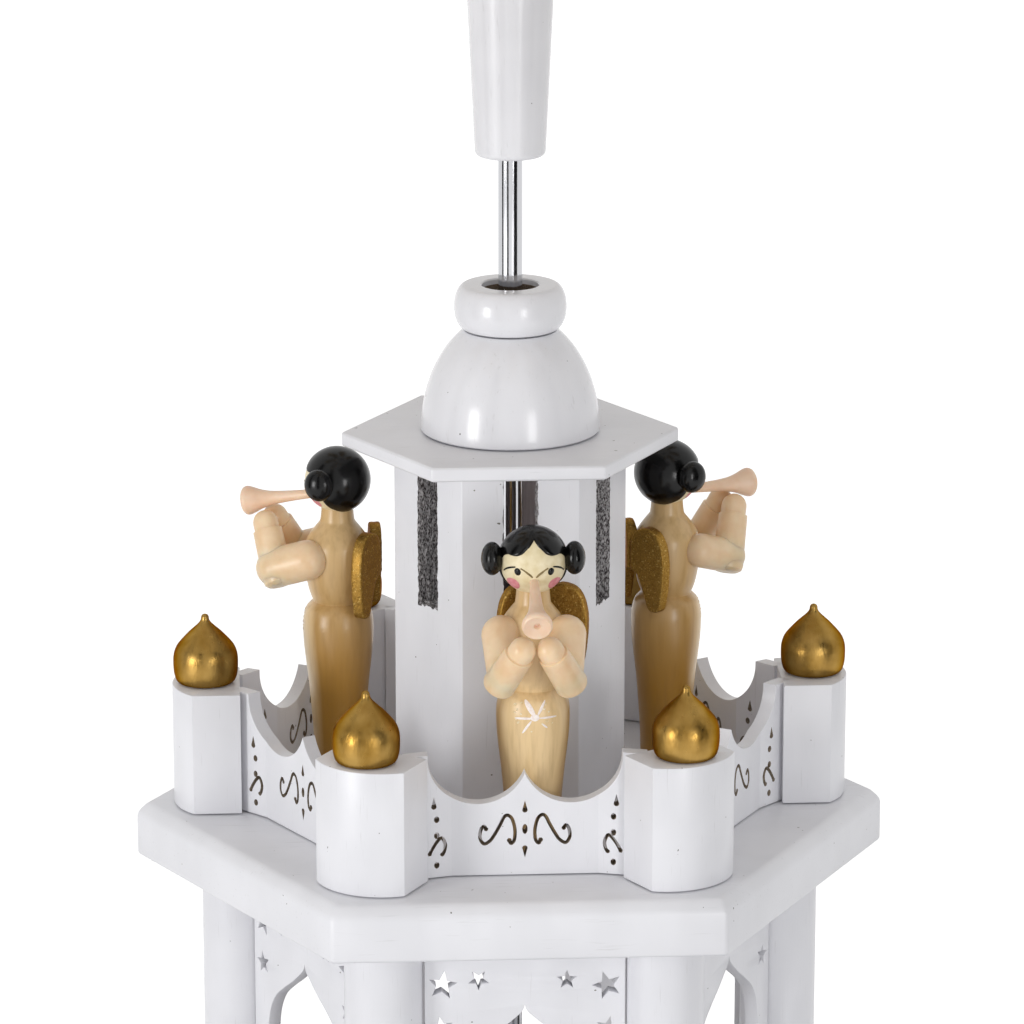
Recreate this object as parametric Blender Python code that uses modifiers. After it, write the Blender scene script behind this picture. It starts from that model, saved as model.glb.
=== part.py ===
"""Candle carousel: a two storey pyramid of painted wood, turned by the warm air of six candles.

Lengths are metres and angles are degrees. The base plate lies on Z = 0 and the spindle stands on
the Z axis. Corner 0 of every hexagon points along +X, and the front side faces -Y.
"""
import bpy
import bmesh
from math import acos, asin, atan2, cos, hypot, pi, radians, sin, sqrt, tan
from mathutils import Matrix, Vector

SIDES = 6
HALF_SIDE = 360 / SIDES / 2
FIT = 0.0003            # gap left between two pieces that touch
OVERRUN = 0.002         # how far a cutter runs past what it cuts
WELD = 0.00002

# Base plate and candle cups
BASE_RADIUS = 0.125
BASE_THICKNESS = 0.009
BASE_EDGE = 0.0015
CANDLE_INSET = 0.020        # from a corner of the base plate in to the middle of a cup
CUP_HEIGHT = 0.0135
CUP_RADIUS = 0.0095
CUP_FOOT_RADIUS = 0.0102
CUP_WAIST_RADIUS = 0.0068
CANDLE_BORE_RADIUS = 0.0071
CANDLE_BORE_DEPTH = 0.009
# The cup's outer side from the rim to the foot: shares of its height, and the radius there
CUP_SIDE_SHARES = ((1.0, CANDLE_BORE_RADIUS), (1.0, CUP_RADIUS), (0.72, CUP_RADIUS),
                   (0.38, CUP_WAIST_RADIUS), (0.27, CUP_WAIST_RADIUS), (0.15, CUP_FOOT_RADIUS),
                   (0.0, CUP_FOOT_RADIUS), (0.0, 0.0))

# Lower storey
COLUMN_RING_RADIUS = 0.0575
COLUMN_RADIUS = 0.008
COLUMN_HEIGHT = 0.1042
PLY = 0.003
ARCH_HALF_WIDTH = 0.0152
ARCH_TOP_DROP = 0.0157      # from the panel's top edge down to the point of the arch
ARCH_CROWN_HEIGHT = 0.0195  # from the arch's point down to where its sides are straight
STAR_RADIUS = 0.0031
STAR_INNER_SHARE = 0.42
# An ogee: a thin point that swells into round shoulders; shares of half width and crown height
OGEE_SHARES = ((0.05, 0.085), (0.30, 0.255), (0.56, 0.40), (0.80, 0.56), (0.94, 0.76), (1.0, 1.0))
# Each star: shares of the panel's half width, of the column height from the top, of the size; its turn
STAR_SHARES = ((-0.82, 0.107, 1.0, -8), (-0.46, 0.097, 0.72, 36), (0.42, 0.100, 0.68, 0),
               (0.82, 0.113, 1.0, 17), (-0.83, 0.196, 0.8, 10), (0.83, 0.202, 0.8, -12))

# Gallery
PLATFORM_RADIUS = 0.0792
PLATFORM_THICKNESS = 0.0118
PLATFORM_CHAMFER = 0.0022    # along its top edge, as wide as it is high
PLATFORM_EDGE = 0.0008
POST_RING_RADIUS = 0.0640
POST_LENGTH = 0.0142
POST_WIDTH = 0.020
POST_NOSE = 0.0042
POST_HEIGHT = 0.026
ONION_HEIGHT = 0.0145
ONION_RADIUS = 0.0068
# Shares of the onion's height and of its widest radius, from the tip down
ONION_SHARES = ((1.0, 0.0), (0.995, 0.085), (0.955, 0.15), (0.90, 0.20), (0.82, 0.34),
                (0.72, 0.58), (0.60, 0.82), (0.48, 0.955), (0.36, 1.0), (0.22, 0.96),
                (0.09, 0.83), (0.0, 0.64), (0.0, 0.0))
FENCE_FACE = 0.0485         # from the axis to the outer face of a fence panel
FENCE_BEND = 0.0148         # half the length of its straight middle
FENCE_FLARE = 15.0
FENCE_DIP_RADIUS = 0.0102
FENCE_DIP_HEIGHT = 0.0152
FENCE_PEAK_HEIGHT = 0.0216
SCROLL_HALF_WIDTH = 0.0092
SCROLL_LOW = 0.0067
SCROLL_HIGH = 0.0127
CUT_WIDTH = 0.00066
# Centre line of the right scroll: shares of its half width and of its height
SCROLL_SHARES = ((0.36, 0.17), (0.26, 0.0), (0.22, 0.48), (0.38, 1.0), (0.53, 0.72), (0.76, 0.14),
                 (0.90, 0.0), (0.99, 0.28), (0.91, 0.70), (0.83, 0.45))
DROP_LENGTH = 0.0026
DROP_WIDTH = 0.0011
DROP_REACH = 0.0061         # from the middle of the scrolls to the tip of a drop
BEAD_LENGTH = 0.0021
HOOK_OFFSET = 0.0018        # from the bend to the small hook beside the post
HOOK_WIDTH = 0.0034
HOOK_HEIGHT = 0.0037
HOOK_SHARES = ((1.0, 0.05), (0.45, 0.86), (0.20, 1.0), (0.0, 0.55), (0.25, 0.0))
WING_DROP_OFFSET = 0.0042
WING_BEAD_LENGTH = 0.0015
WING_BEAD_DROP = 0.0017     # from the foot of the hook down to the bead

# Tower, roof and dome
TOWER_RADIUS = 0.0243
TOWER_HEIGHT = 0.0764
TOWER_TURN = 2.5
TOWER_WALL = 0.005
SLOT_WIDTH = 0.0076
SLOT_SILL = 0.0446
ROOF_RADIUS = 0.0352
ROOF_THICKNESS = 0.003
ROOF_EDGE = 0.0004
DOME_RADIUS = 0.0186
DOME_HEIGHT = 0.0212
DOME_NECK_RADIUS = 0.0097
DOME_EDGE = 0.0004
RING_RADIUS = 0.01165
RING_FLAT_RADIUS = 0.0094
RING_HEIGHT = 0.0092
RING_RECESS_RADIUS = 0.0059
RING_RECESS_DEPTH = 0.0045

# Spindle, turntable and rotor
ROD_RADIUS = 0.0025
ROD_POINT_HEIGHT = 0.0035
SHAFT_HOLE_RADIUS = 0.004
PIVOT_RADIUS = 0.006
PIVOT_HEIGHT = 0.005
PIVOT_LIP = 0.0015
PIVOT_DIMPLE_RADIUS = 0.0032
PIVOT_DIMPLE_DEPTH = 0.0028
TURNTABLE_RADIUS = 0.042
TURNTABLE_THICKNESS = 0.004
TURNTABLE_CLEARANCE = 0.011  # from the base plate up to the disc
TURNTABLE_BOSS_RADIUS = 0.0075
TURNTABLE_BOSS_HEIGHT = 0.007
FIGURE_COUNT = 3
FIGURE_RING_RADIUS = 0.026
FIGURE_HEIGHT = 0.036
FIGURE_RADIUS = 0.0065
# Shares of the figure's height and radius, from the crown down; the foot is sunk into the disc
FIGURE_SHARES = ((1.0, 0.0), (0.98, 0.30), (0.92, 0.50), (0.85, 0.56), (0.78, 0.46), (0.735, 0.30),
                 (0.70, 0.62), (0.60, 0.74), (0.30, 0.86), (0.0, 1.0), (-0.05, 1.0), (-0.05, 0.0))
HUB_SHOW = 0.027            # bare rod between the ring and the hub
HUB_FOOT_RADIUS = 0.0073
HUB_FOOT_EDGE = 0.0012
HUB_STEM_HEIGHT = 0.066
HUB_STEM_RADIUS = 0.0104
HUB_HEAD_RADIUS = 0.016
HUB_HEAD_HEIGHT = 0.0215
HUB_BORE_DEPTH = 0.020
# Shares of the head's radius and height, from the middle of its top down to the stem
HUB_HEAD_SHARES = ((0.0, 1.0), (0.45, 0.97), (0.80, 0.89), (1.0, 0.76), (1.0, 0.20), (0.82, 0.05))
PADDLE_COUNT = 8
PADDLE_PITCH = 40.0
PEG_RADIUS = 0.002
PEG_LENGTH = 0.050
PEG_SEAT_DEPTH = 0.007
PEG_LAP = 0.018
BLADE_LENGTH = 0.090
BLADE_ROOT_WIDTH = 0.030
BLADE_TIP_WIDTH = 0.046
BLADE_THICKNESS = 0.0016
BLADE_CORNER = 0.0036

# Angels
ANGEL_RING_RADIUS = 0.0386
ANGEL_HEAD_RADIUS = 0.0066
ANGEL_HEAD_HEIGHT = 0.0643
ANGEL_HIP_RADIUS = 0.0076
ANGEL_CHEST_SHARE = 0.91
# Shares of the height below the head and of the hip radius, from the neck down
ANGEL_BODY_SHARES = ((0.97, 0.42), (0.945, 0.47), (0.915, 0.70), (0.865, 0.87),
                     (0.80, ANGEL_CHEST_SHARE), (0.73, 0.83), (0.675, 0.71), (0.658, 0.67),
                     (0.643, 0.72), (0.60, 0.92), (0.545, 1.0), (0.46, 0.955), (0.36, 0.83),
                     (0.255, 0.72), (0.12, 0.67), (0.0, 0.69))
ANGEL_HEAD_LATITUDES = (90, 66, 42, 18, -8, -34, -56)
BUN_OFFSET = 0.0081
BUN_RADIUS = 0.0030
BUN_FORM_SHARES = (1.0, 0.75, 1.1)
ARM_RADIUS = 0.0040
HAND_RADIUS = 0.0026
# Along the forearm from the elbow to the hand, and the radius there as a share of the arm's
FOREARM_SHARES = ((0.0, 0.98), (0.35, 0.80), (0.72, 0.62))
ARM_END_SHARE = 0.45        # how far each end of an arm narrows
SHOULDER_OFFSET = 0.0068
SHOULDER_HEIGHT = 0.0500
ELBOW_REACH = 0.0100
ELBOW_HEIGHT = 0.0428
HAND_REACH = 0.0133
HAND_OFFSET = 0.0028
TRUMPET_START = 0.0048
TRUMPET_LENGTH = 0.0180
TRUMPET_RADIUS = 0.0011
TRUMPET_BELL_RADIUS = 0.0029
TRUMPET_HEIGHT = 0.0606
# Shares of the trumpet's length and of the swell from its tube to its bell
TRUMPET_SHARES = ((0.0, 0.0), (0.62, 0.10), (0.82, 0.32), (0.94, 0.74), (1.0, 1.0))
WING_THICKNESS = 0.0015
WING_HEIGHT = 0.0175
WING_WIDTH = 0.0095
WING_BOTTOM = 0.0380
# One rounded lobe: shares of the wings' half width and height, from the spine out and round
WING_SHARES = ((0.0, 0.86), (0.20, 0.92), (0.42, 1.0), (0.70, 0.97), (0.92, 0.82),
               (1.0, 0.60), (0.94, 0.34), (0.80, 0.10), (0.62, 0.0), (0.46, 0.06),
               (0.34, 0.26), (0.22, 0.42), (0.0, 0.48))
# The figures are glued in by hand: for each its bearing from the axis, the way it faces, the fall
# of its trumpet and the height of its hands
ANGELS = (
    ("angel_front", 273.5, 269.0, 13.0, 0.0495),
    ("angel_right", 27.0, 27.0, 2.0, 0.0545),
    ("angel_left", 158.0, 158.0, 10.0, 0.0535),
)

# Levels that follow from the sizes above
BASE_TOP = BASE_THICKNESS
COLUMN_FOOT = BASE_TOP + FIT
PLATFORM_BOTTOM = COLUMN_FOOT + COLUMN_HEIGHT + FIT
PLATFORM_TOP = PLATFORM_BOTTOM + PLATFORM_THICKNESS
GALLERY = PLATFORM_TOP + FIT
ROOF_BOTTOM = GALLERY + TOWER_HEIGHT + FIT
ROOF_TOP = ROOF_BOTTOM + ROOF_THICKNESS
DOME_FOOT = ROOF_TOP + FIT
RING_FOOT = DOME_FOOT + DOME_HEIGHT + FIT
RING_TOP = RING_FOOT + RING_HEIGHT
HUB_FOOT = RING_TOP + HUB_SHOW
HUB_HEAD_FOOT = HUB_FOOT + HUB_STEM_HEIGHT
PADDLE_LEVEL = HUB_HEAD_FOOT + HUB_HEAD_HEIGHT / 2
PIVOT_FOOT = BASE_TOP + PIVOT_LIP - PIVOT_HEIGHT
ROD_FOOT = PIVOT_FOOT + PIVOT_HEIGHT - PIVOT_DIMPLE_DEPTH + FIT
ROD_TOP = HUB_FOOT + HUB_BORE_DEPTH - FIT

for old in list(bpy.data.objects):
    bpy.data.objects.remove(old, do_unlink=True)

carousel = bpy.data.collections.new("candle_carousel")
cutters = bpy.data.collections.new("cutters")
for group in (carousel, cutters):
    bpy.context.scene.collection.children.link(group)


def finish(name, colour, roughness, metallic=0.0):
    material = bpy.data.materials.new(name)
    material.use_nodes = True
    shader = material.node_tree.nodes["Principled BSDF"]
    shader.inputs["Base Color"].default_value = (*colour, 1.0)
    shader.inputs["Roughness"].default_value = roughness
    shader.inputs["Metallic"].default_value = metallic
    return material


def add_object(name, mesh, colour, roughness, metallic=0.0):
    """A named sub-part with a finish of its own."""
    piece = bpy.data.objects.new(name, mesh)
    carousel.objects.link(piece)
    if not mesh.materials:
        mesh.materials.append(None)
    piece.material_slots[0].link = "OBJECT"
    piece.material_slots[0].material = finish(name + "_finish", colour, roughness, metallic)
    return piece


def add_cutter(name, mesh, matrix=Matrix()):
    tool = bpy.data.objects.new(name, mesh)
    cutters.objects.link(tool)
    tool.matrix_world = matrix
    tool.hide_render = True
    tool.display_type = "WIRE"
    return tool


def combine(piece, tool, operation):
    modifier = piece.modifiers.new(tool.name, "BOOLEAN")
    modifier.operation = operation
    modifier.solver = "EXACT"
    modifier.object = tool


def polar(radius, angle, height=0.0):
    return Vector((radius * cos(radians(angle)), radius * sin(radians(angle)), height))


def turn_about_axis(angle):
    return Matrix.Rotation(radians(angle), 4, "Z")


def profile_mesh(name, points, closed=False):
    """An open or closed chain of (radius, height) points in the XZ plane."""
    mesh = bpy.data.meshes.new(name)
    edges = [(i, i + 1) for i in range(len(points) - 1)]
    if closed:
        edges.append((len(points) - 1, 0))
    mesh.from_pydata([(radius, 0.0, height) for radius, height in points], edges, [])
    return mesh


def screw(piece, steps):
    modifier = piece.modifiers.new("turned", "SCREW")
    modifier.steps = steps
    modifier.render_steps = steps
    modifier.use_merge_vertices = True
    modifier.merge_threshold = WELD
    modifier.use_smooth_shade = True


def turned(name, points, steps, colour, roughness, metallic=0.0, bored=False):
    """A lathe-turned piece; its profile runs down the outer side from top to bottom."""
    piece = add_object(name, profile_mesh(name, points, bored), colour, roughness, metallic)
    screw(piece, steps)
    return piece


def prism_mesh(name, radius, height, sides, foot=0.0):
    """An upright prism or cylinder with a corner on +X, standing on the given level."""
    mesh = bpy.data.meshes.new(name)
    shape = bmesh.new()
    bmesh.ops.create_cone(shape, cap_ends=True, segments=sides, radius1=radius, radius2=radius,
                          depth=height)
    bmesh.ops.translate(shape, verts=shape.verts, vec=(0.0, 0.0, foot + height / 2))
    first = min(shape.verts, key=lambda v: abs(atan2(v.co.y, v.co.x)))
    spin = Matrix.Rotation(-atan2(first.co.y, first.co.x), 3, "Z")
    bmesh.ops.rotate(shape, verts=shape.verts, matrix=spin)
    shape.to_mesh(mesh)
    shape.free()
    return mesh


def bevel(piece, width, segments):
    modifier = piece.modifiers.new("rounded_edges", "BEVEL")
    modifier.width = width
    modifier.segments = segments
    modifier.limit_method = "ANGLE"
    modifier.angle_limit = radians(30)


def smooth(piece, angle=40):
    piece.data.shade_smooth()
    piece.data.set_sharp_from_angle(angle=radians(angle))


def mesh_from_curve(name, curve):
    """The curve's own solid, with its caps welded on."""
    guide = bpy.data.objects.new(name, curve)
    cutters.objects.link(guide)
    scene_state = bpy.context.evaluated_depsgraph_get()
    mesh = bpy.data.meshes.new_from_object(guide.evaluated_get(scene_state))
    bpy.data.objects.remove(guide)
    shape = bmesh.new()
    shape.from_mesh(mesh)
    bmesh.ops.remove_doubles(shape, verts=shape.verts, dist=WELD)
    bmesh.ops.recalc_face_normals(shape, faces=shape.faces)
    shape.to_mesh(mesh)
    shape.free()
    mesh.name = name
    return mesh


def board_mesh(name, outlines, thickness):
    """A flat board: the first outline less the others, lying in XY about Z = 0."""
    curve = bpy.data.curves.new(name, "CURVE")
    curve.dimensions = "2D"
    curve.fill_mode = "BOTH"
    curve.extrude = thickness / 2
    for outline in outlines:
        spline = curve.splines.new("POLY")
        spline.points.add(len(outline) - 1)
        for point, (x, y) in zip(spline.points, outline):
            point.co = (x, y, 0.0, 1.0)
        spline.use_cyclic_u = True
    return mesh_from_curve(name, curve)


def rod_mesh(name, stations):
    """A round limb through (place, radius) stations, with closed ends."""
    curve = bpy.data.curves.new(name, "CURVE")
    curve.dimensions = "3D"
    curve.use_fill_caps = True
    widest = max(radius for place, radius in stations)
    curve.bevel_depth = widest
    curve.bevel_resolution = 1
    spline = curve.splines.new("POLY")
    spline.points.add(len(stations) - 1)
    for point, (place, radius) in zip(spline.points, stations):
        point.co = (*place, 1.0)
        point.radius = radius / widest
    return mesh_from_curve(name, curve)


def stroke(centres, width):
    """The closed outline of a line of even width drawn through the centres."""
    left, right = [], []
    for i, (x, y) in enumerate(centres):
        x0, y0 = centres[max(i - 1, 0)]
        x1, y1 = centres[min(i + 1, len(centres) - 1)]
        length = hypot(x1 - x0, y1 - y0)
        across = (-(y1 - y0) / length * width / 2, (x1 - x0) / length * width / 2)
        left.append((x + across[0], y + across[1]))
        right.append((x - across[0], y - across[1]))
    return left + right[::-1]


def oval(x, y, width, height, count):
    return [(x + width / 2 * cos(2 * pi * i / count), y + height / 2 * sin(2 * pi * i / count))
            for i in range(count)]


def mirrored(points):
    return [(-x, y) for x, y in points][::-1]


def side_angle(index):
    return HALF_SIDE + index * 360 / SIDES


def corner_angle(index):
    return index * 360 / SIDES


def place_on_side(piece, index, distance, height):
    """Stands a piece that was drawn facing -Y on one side of the hexagon."""
    angle = side_angle(index)
    piece.location = polar(distance, angle, height)
    piece.rotation_euler = (0.0, 0.0, radians(angle) + pi / 2)


UPRIGHT = Matrix.Rotation(pi / 2, 4, "X")
AIM_OUT = Matrix.Rotation(pi / 2, 4, "Y")
WHITE = (0.79, 0.79, 0.81)
GOLD = (0.42, 0.26, 0.07)
WOOD = (0.75, 0.52, 0.27)


def make_base():
    plate = prism_mesh("base_plate", BASE_RADIUS, BASE_THICKNESS, SIDES)
    base = add_object("base_plate", plate, WHITE, 0.35)
    bevel(base, BASE_EDGE, 1)
    depth = PIVOT_HEIGHT - PIVOT_LIP + FIT
    socket = prism_mesh("pivot_socket", PIVOT_RADIUS + FIT, depth + OVERRUN, 20, BASE_TOP - depth)
    combine(base, add_cutter("pivot_socket", socket), "DIFFERENCE")
    smooth(base)


def make_pivot_cup():
    """The hard little cup that the point of the spindle turns in."""
    top = PIVOT_HEIGHT
    floor = PIVOT_HEIGHT - PIVOT_DIMPLE_DEPTH
    points = [(0.0, floor), (PIVOT_DIMPLE_RADIUS, top), (PIVOT_RADIUS, top), (PIVOT_RADIUS, 0.0),
              (0.0, 0.0)]
    cup = turned("pivot_cup", points, 20, (0.55, 0.56, 0.58), 0.2, 1.0)
    cup.location.z = PIVOT_FOOT


def make_candle_cups():
    floor = CUP_HEIGHT - CANDLE_BORE_DEPTH
    side = [(radius, share * CUP_HEIGHT) for share, radius in CUP_SIDE_SHARES]
    points = [(0.0, floor), (CANDLE_BORE_RADIUS, floor)] + side
    for index in range(SIDES):
        cup = turned(f"candle_cup_{index + 1}", points, 12, WHITE, 0.35)
        cup.location = polar(BASE_RADIUS - CANDLE_INSET, corner_angle(index), BASE_TOP + FIT)


def make_columns():
    mesh = prism_mesh("column", COLUMN_RADIUS, COLUMN_HEIGHT, 20)
    for index in range(SIDES):
        column = add_object(f"column_{index + 1}", mesh.copy(), WHITE, 0.35)
        column.location = polar(COLUMN_RING_RADIUS, corner_angle(index), COLUMN_FOOT)
        smooth(column)


def star(x, y, radius, turn):
    points = []
    for i in range(10):
        reach = radius if i % 2 == 0 else radius * STAR_INNER_SHARE
        angle = radians(90 + turn + i * 36)
        points.append((x + reach * cos(angle), y + reach * sin(angle)))
    return points


def make_arch_panels():
    half = COLUMN_RING_RADIUS * sin(radians(HALF_SIDE)) - COLUMN_RADIUS - FIT
    top = COLUMN_HEIGHT
    point = top - ARCH_TOP_DROP
    crown = [(x * ARCH_HALF_WIDTH, point - y * ARCH_CROWN_HEIGHT) for x, y in OGEE_SHARES]
    right = [(half, 0.0), (half, top)]
    arch_right = crown + [(ARCH_HALF_WIDTH, 0.0)]
    outline = right + mirrored(right) + mirrored(arch_right) + [(0.0, point)] + arch_right
    stars = [star(x * half, top - y * COLUMN_HEIGHT, size * STAR_RADIUS, turn)
             for x, y, size, turn in STAR_SHARES]
    mesh = board_mesh("arch_panel", [outline] + stars, PLY)
    mesh.transform(UPRIGHT)
    for index in range(SIDES):
        panel = add_object(f"arch_panel_{index + 1}", mesh.copy(), WHITE, 0.35)
        place_on_side(panel, index, COLUMN_RING_RADIUS * cos(radians(HALF_SIDE)), COLUMN_FOOT)


def make_platform():
    mesh = prism_mesh("gallery_platform", PLATFORM_RADIUS, PLATFORM_THICKNESS, SIDES)
    shape = bmesh.new()
    shape.from_mesh(mesh)
    rim = [edge for edge in shape.edges if min(v.co.z for v in edge.verts) > PLATFORM_THICKNESS / 2]
    bmesh.ops.bevel(shape, geom=rim, offset=PLATFORM_CHAMFER, segments=1, affect="EDGES")
    shape.to_mesh(mesh)
    shape.free()
    platform = add_object("gallery_platform", mesh, WHITE, 0.35)
    platform.location.z = PLATFORM_BOTTOM
    bevel(platform, PLATFORM_EDGE, 2)
    hole = prism_mesh("platform_hole", SHAFT_HOLE_RADIUS, PLATFORM_THICKNESS + 2 * OVERRUN, 20,
                      PLATFORM_BOTTOM - OVERRUN)
    combine(platform, add_cutter("platform_hole", hole), "DIFFERENCE")
    smooth(platform)


def make_posts():
    """Corner posts with straight sides and a bowed nose that faces out."""
    half = POST_WIDTH / 2
    bow = (half ** 2 + POST_NOSE ** 2) / (2 * POST_NOSE)
    reach = asin(half / bow)
    centre = POST_LENGTH / 2 - bow
    steps = 8
    nose = [(centre + bow * cos(reach * (2 * i / steps - 1)), bow * sin(reach * (2 * i / steps - 1)))
            for i in range(steps + 1)]
    back = -POST_LENGTH / 2
    outline = [(back, half), (back, -half)] + nose
    mesh = board_mesh("fence_post", [outline], POST_HEIGHT)
    mesh.transform(Matrix.Translation((0.0, 0.0, POST_HEIGHT / 2)))
    for index in range(SIDES):
        post = add_object(f"fence_post_{index + 1}", mesh.copy(), WHITE, 0.35)
        post.location = polar(POST_RING_RADIUS, corner_angle(index), GALLERY)
        post.rotation_euler.z = radians(corner_angle(index))
        smooth(post, 30)


def make_onions():
    points = [(radius * ONION_RADIUS, height * ONION_HEIGHT) for height, radius in ONION_SHARES]
    for index in range(SIDES):
        onion = turned(f"onion_finial_{index + 1}", points, 12, GOLD, 0.35, 1.0)
        onion.location = polar(POST_RING_RADIUS, corner_angle(index), GALLERY + POST_HEIGHT + FIT)


def fence_end():
    """Half the length of a fence panel: it stops just short of the back of the post."""
    post_back = POST_RING_RADIUS - POST_LENGTH / 2 - FIT
    slope = tan(radians(FENCE_FLARE))
    along, out = sin(radians(HALF_SIDE)), cos(radians(HALF_SIDE))
    return (post_back - out * (FENCE_FACE - FENCE_BEND * slope)) / (along + out * slope)


def fence_top(end):
    """The top edge from one end to the other: two round dips beside a middle peak."""
    centre_x = sqrt(FENCE_DIP_RADIUS ** 2 - (FENCE_DIP_RADIUS + FENCE_DIP_HEIGHT - FENCE_PEAK_HEIGHT) ** 2)
    centre_y = FENCE_DIP_HEIGHT + FENCE_DIP_RADIUS
    inner = asin(centre_x / FENCE_DIP_RADIUS)
    outer = acos((centre_y - POST_HEIGHT) / FENCE_DIP_RADIUS) if centre_y > POST_HEIGHT else pi / 2
    steps = 7
    right = []
    for i in range(steps + 1):
        angle = -inner + (inner + outer) * i / steps
        right.append((centre_x + FENCE_DIP_RADIUS * sin(angle), centre_y - FENCE_DIP_RADIUS * cos(angle)))
    right[-1] = (right[-1][0], POST_HEIGHT)
    right.append((end, POST_HEIGHT))
    return mirrored(right[1:]) + right


def scroll_cuts():
    """The middle motif: a pair of S-scrolls beside a drop, a bead and a drop."""
    rise = SCROLL_HIGH - SCROLL_LOW
    right = stroke([(x * SCROLL_HALF_WIDTH, SCROLL_LOW + y * rise) for x, y in SCROLL_SHARES], CUT_WIDTH)
    middle = (SCROLL_LOW + SCROLL_HIGH) / 2
    cuts = [right, mirrored(right), oval(0.0, middle, DROP_WIDTH, BEAD_LENGTH, 6)]
    for way in (1, -1):
        tip = middle + way * DROP_REACH
        base = tip - way * DROP_LENGTH
        cuts.append([(0.0, tip), (DROP_WIDTH / 2, base), (-DROP_WIDTH / 2, base)])
    return cuts


def wing_cuts():
    """A small hook with a drop above and a bead below, half hidden by each post."""
    start = FENCE_BEND + HOOK_OFFSET
    centres = [(start + x * HOOK_WIDTH, SCROLL_LOW + y * HOOK_HEIGHT) for x, y in HOOK_SHARES]
    hook = stroke(centres, CUT_WIDTH)
    column = FENCE_BEND + WING_DROP_OFFSET
    tip = SCROLL_HIGH + DROP_REACH
    base = tip - DROP_LENGTH
    drop = [(column, tip), (column + DROP_WIDTH / 2, base), (column - DROP_WIDTH / 2, base)]
    bead = oval(column, SCROLL_LOW - WING_BEAD_DROP, DROP_WIDTH, WING_BEAD_LENGTH, 5)
    cuts = [hook, drop, bead]
    return cuts + [mirrored(cut) for cut in cuts]


def make_fence_panels():
    end = fence_end()
    outline = [(-end, 0.0)] + fence_top(end) + [(end, 0.0)]
    mesh = board_mesh("fence_panel", [outline] + scroll_cuts() + wing_cuts(), PLY)
    mesh.transform(UPRIGHT)
    shape = bmesh.new()
    shape.from_mesh(mesh)
    for way in (1, -1):
        everything = shape.verts[:] + shape.edges[:] + shape.faces[:]
        bmesh.ops.bisect_plane(shape, geom=everything, dist=WELD / 10,
                               plane_co=(way * FENCE_BEND, 0.0, 0.0), plane_no=(way, 0.0, 0.0))
    slope = tan(radians(FENCE_FLARE))
    for vertex in shape.verts:
        beyond = abs(vertex.co.x) - FENCE_BEND
        if beyond > 0.0:
            vertex.co.y -= beyond * slope
    bmesh.ops.triangulate(shape, faces=shape.faces[:])
    shape.to_mesh(mesh)
    shape.free()
    for index in range(SIDES):
        panel = add_object(f"fence_panel_{index + 1}", mesh.copy(), WHITE, 0.35)
        place_on_side(panel, index, FENCE_FACE - PLY / 2, GALLERY)


def make_tower():
    tower = add_object("tower", prism_mesh("tower", TOWER_RADIUS, TOWER_HEIGHT, SIDES), WHITE, 0.35)
    tower.location.z = GALLERY
    tower.rotation_euler.z = radians(TOWER_TURN)
    inner = TOWER_RADIUS - TOWER_WALL / cos(radians(HALF_SIDE))
    stand = turn_about_axis(TOWER_TURN) @ Matrix.Translation((0.0, 0.0, GALLERY))
    room = prism_mesh("tower_room", inner, TOWER_HEIGHT + 2 * OVERRUN, SIDES, -OVERRUN)
    combine(tower, add_cutter("tower_room", room, stand), "DIFFERENCE")
    slot_height = TOWER_HEIGHT - SLOT_SILL + OVERRUN
    for index in range(SIDES // 2):
        mesh = bpy.data.meshes.new("tower_slot")
        shape = bmesh.new()
        bmesh.ops.create_cube(shape, size=1)
        scale = (2 * (TOWER_RADIUS + OVERRUN), SLOT_WIDTH, slot_height)
        bmesh.ops.scale(shape, vec=scale, verts=shape.verts)
        bmesh.ops.translate(shape, vec=(0.0, 0.0, SLOT_SILL + slot_height / 2), verts=shape.verts)
        shape.to_mesh(mesh)
        shape.free()
        slot = add_cutter(f"tower_slot_{index + 1}", mesh, stand @ turn_about_axis(side_angle(index)))
        combine(tower, slot, "DIFFERENCE")


def make_roof():
    plate = prism_mesh("roof_plate", ROOF_RADIUS, ROOF_THICKNESS, SIDES)
    roof = add_object("roof_plate", plate, WHITE, 0.35)
    roof.location.z = ROOF_BOTTOM
    bevel(roof, ROOF_EDGE, 1)
    length = ROOF_THICKNESS + 2 * OVERRUN
    hole = prism_mesh("roof_hole", SHAFT_HOLE_RADIUS, length, 20, ROOF_BOTTOM - OVERRUN)
    combine(roof, add_cutter("roof_hole", hole), "DIFFERENCE")
    smooth(roof)


def make_dome():
    """Half an egg: the side is an ellipse that meets the neck at the top."""
    full = DOME_HEIGHT / sqrt(1 - (DOME_NECK_RADIUS / DOME_RADIUS) ** 2)
    steps = 7
    top_angle = asin(DOME_HEIGHT / full)
    side = []
    for i in range(steps + 1):
        angle = top_angle * (1 - i / steps)
        side.append((DOME_RADIUS * cos(angle), full * sin(angle)))
    side[-1] = (DOME_RADIUS, DOME_EDGE)
    foot = [(DOME_RADIUS - DOME_EDGE, 0.0), (SHAFT_HOLE_RADIUS, 0.0)]
    points = [(SHAFT_HOLE_RADIUS, DOME_HEIGHT)] + side + foot
    dome = turned("dome", points, 24, WHITE, 0.3, bored=True)
    dome.location.z = DOME_FOOT


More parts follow.
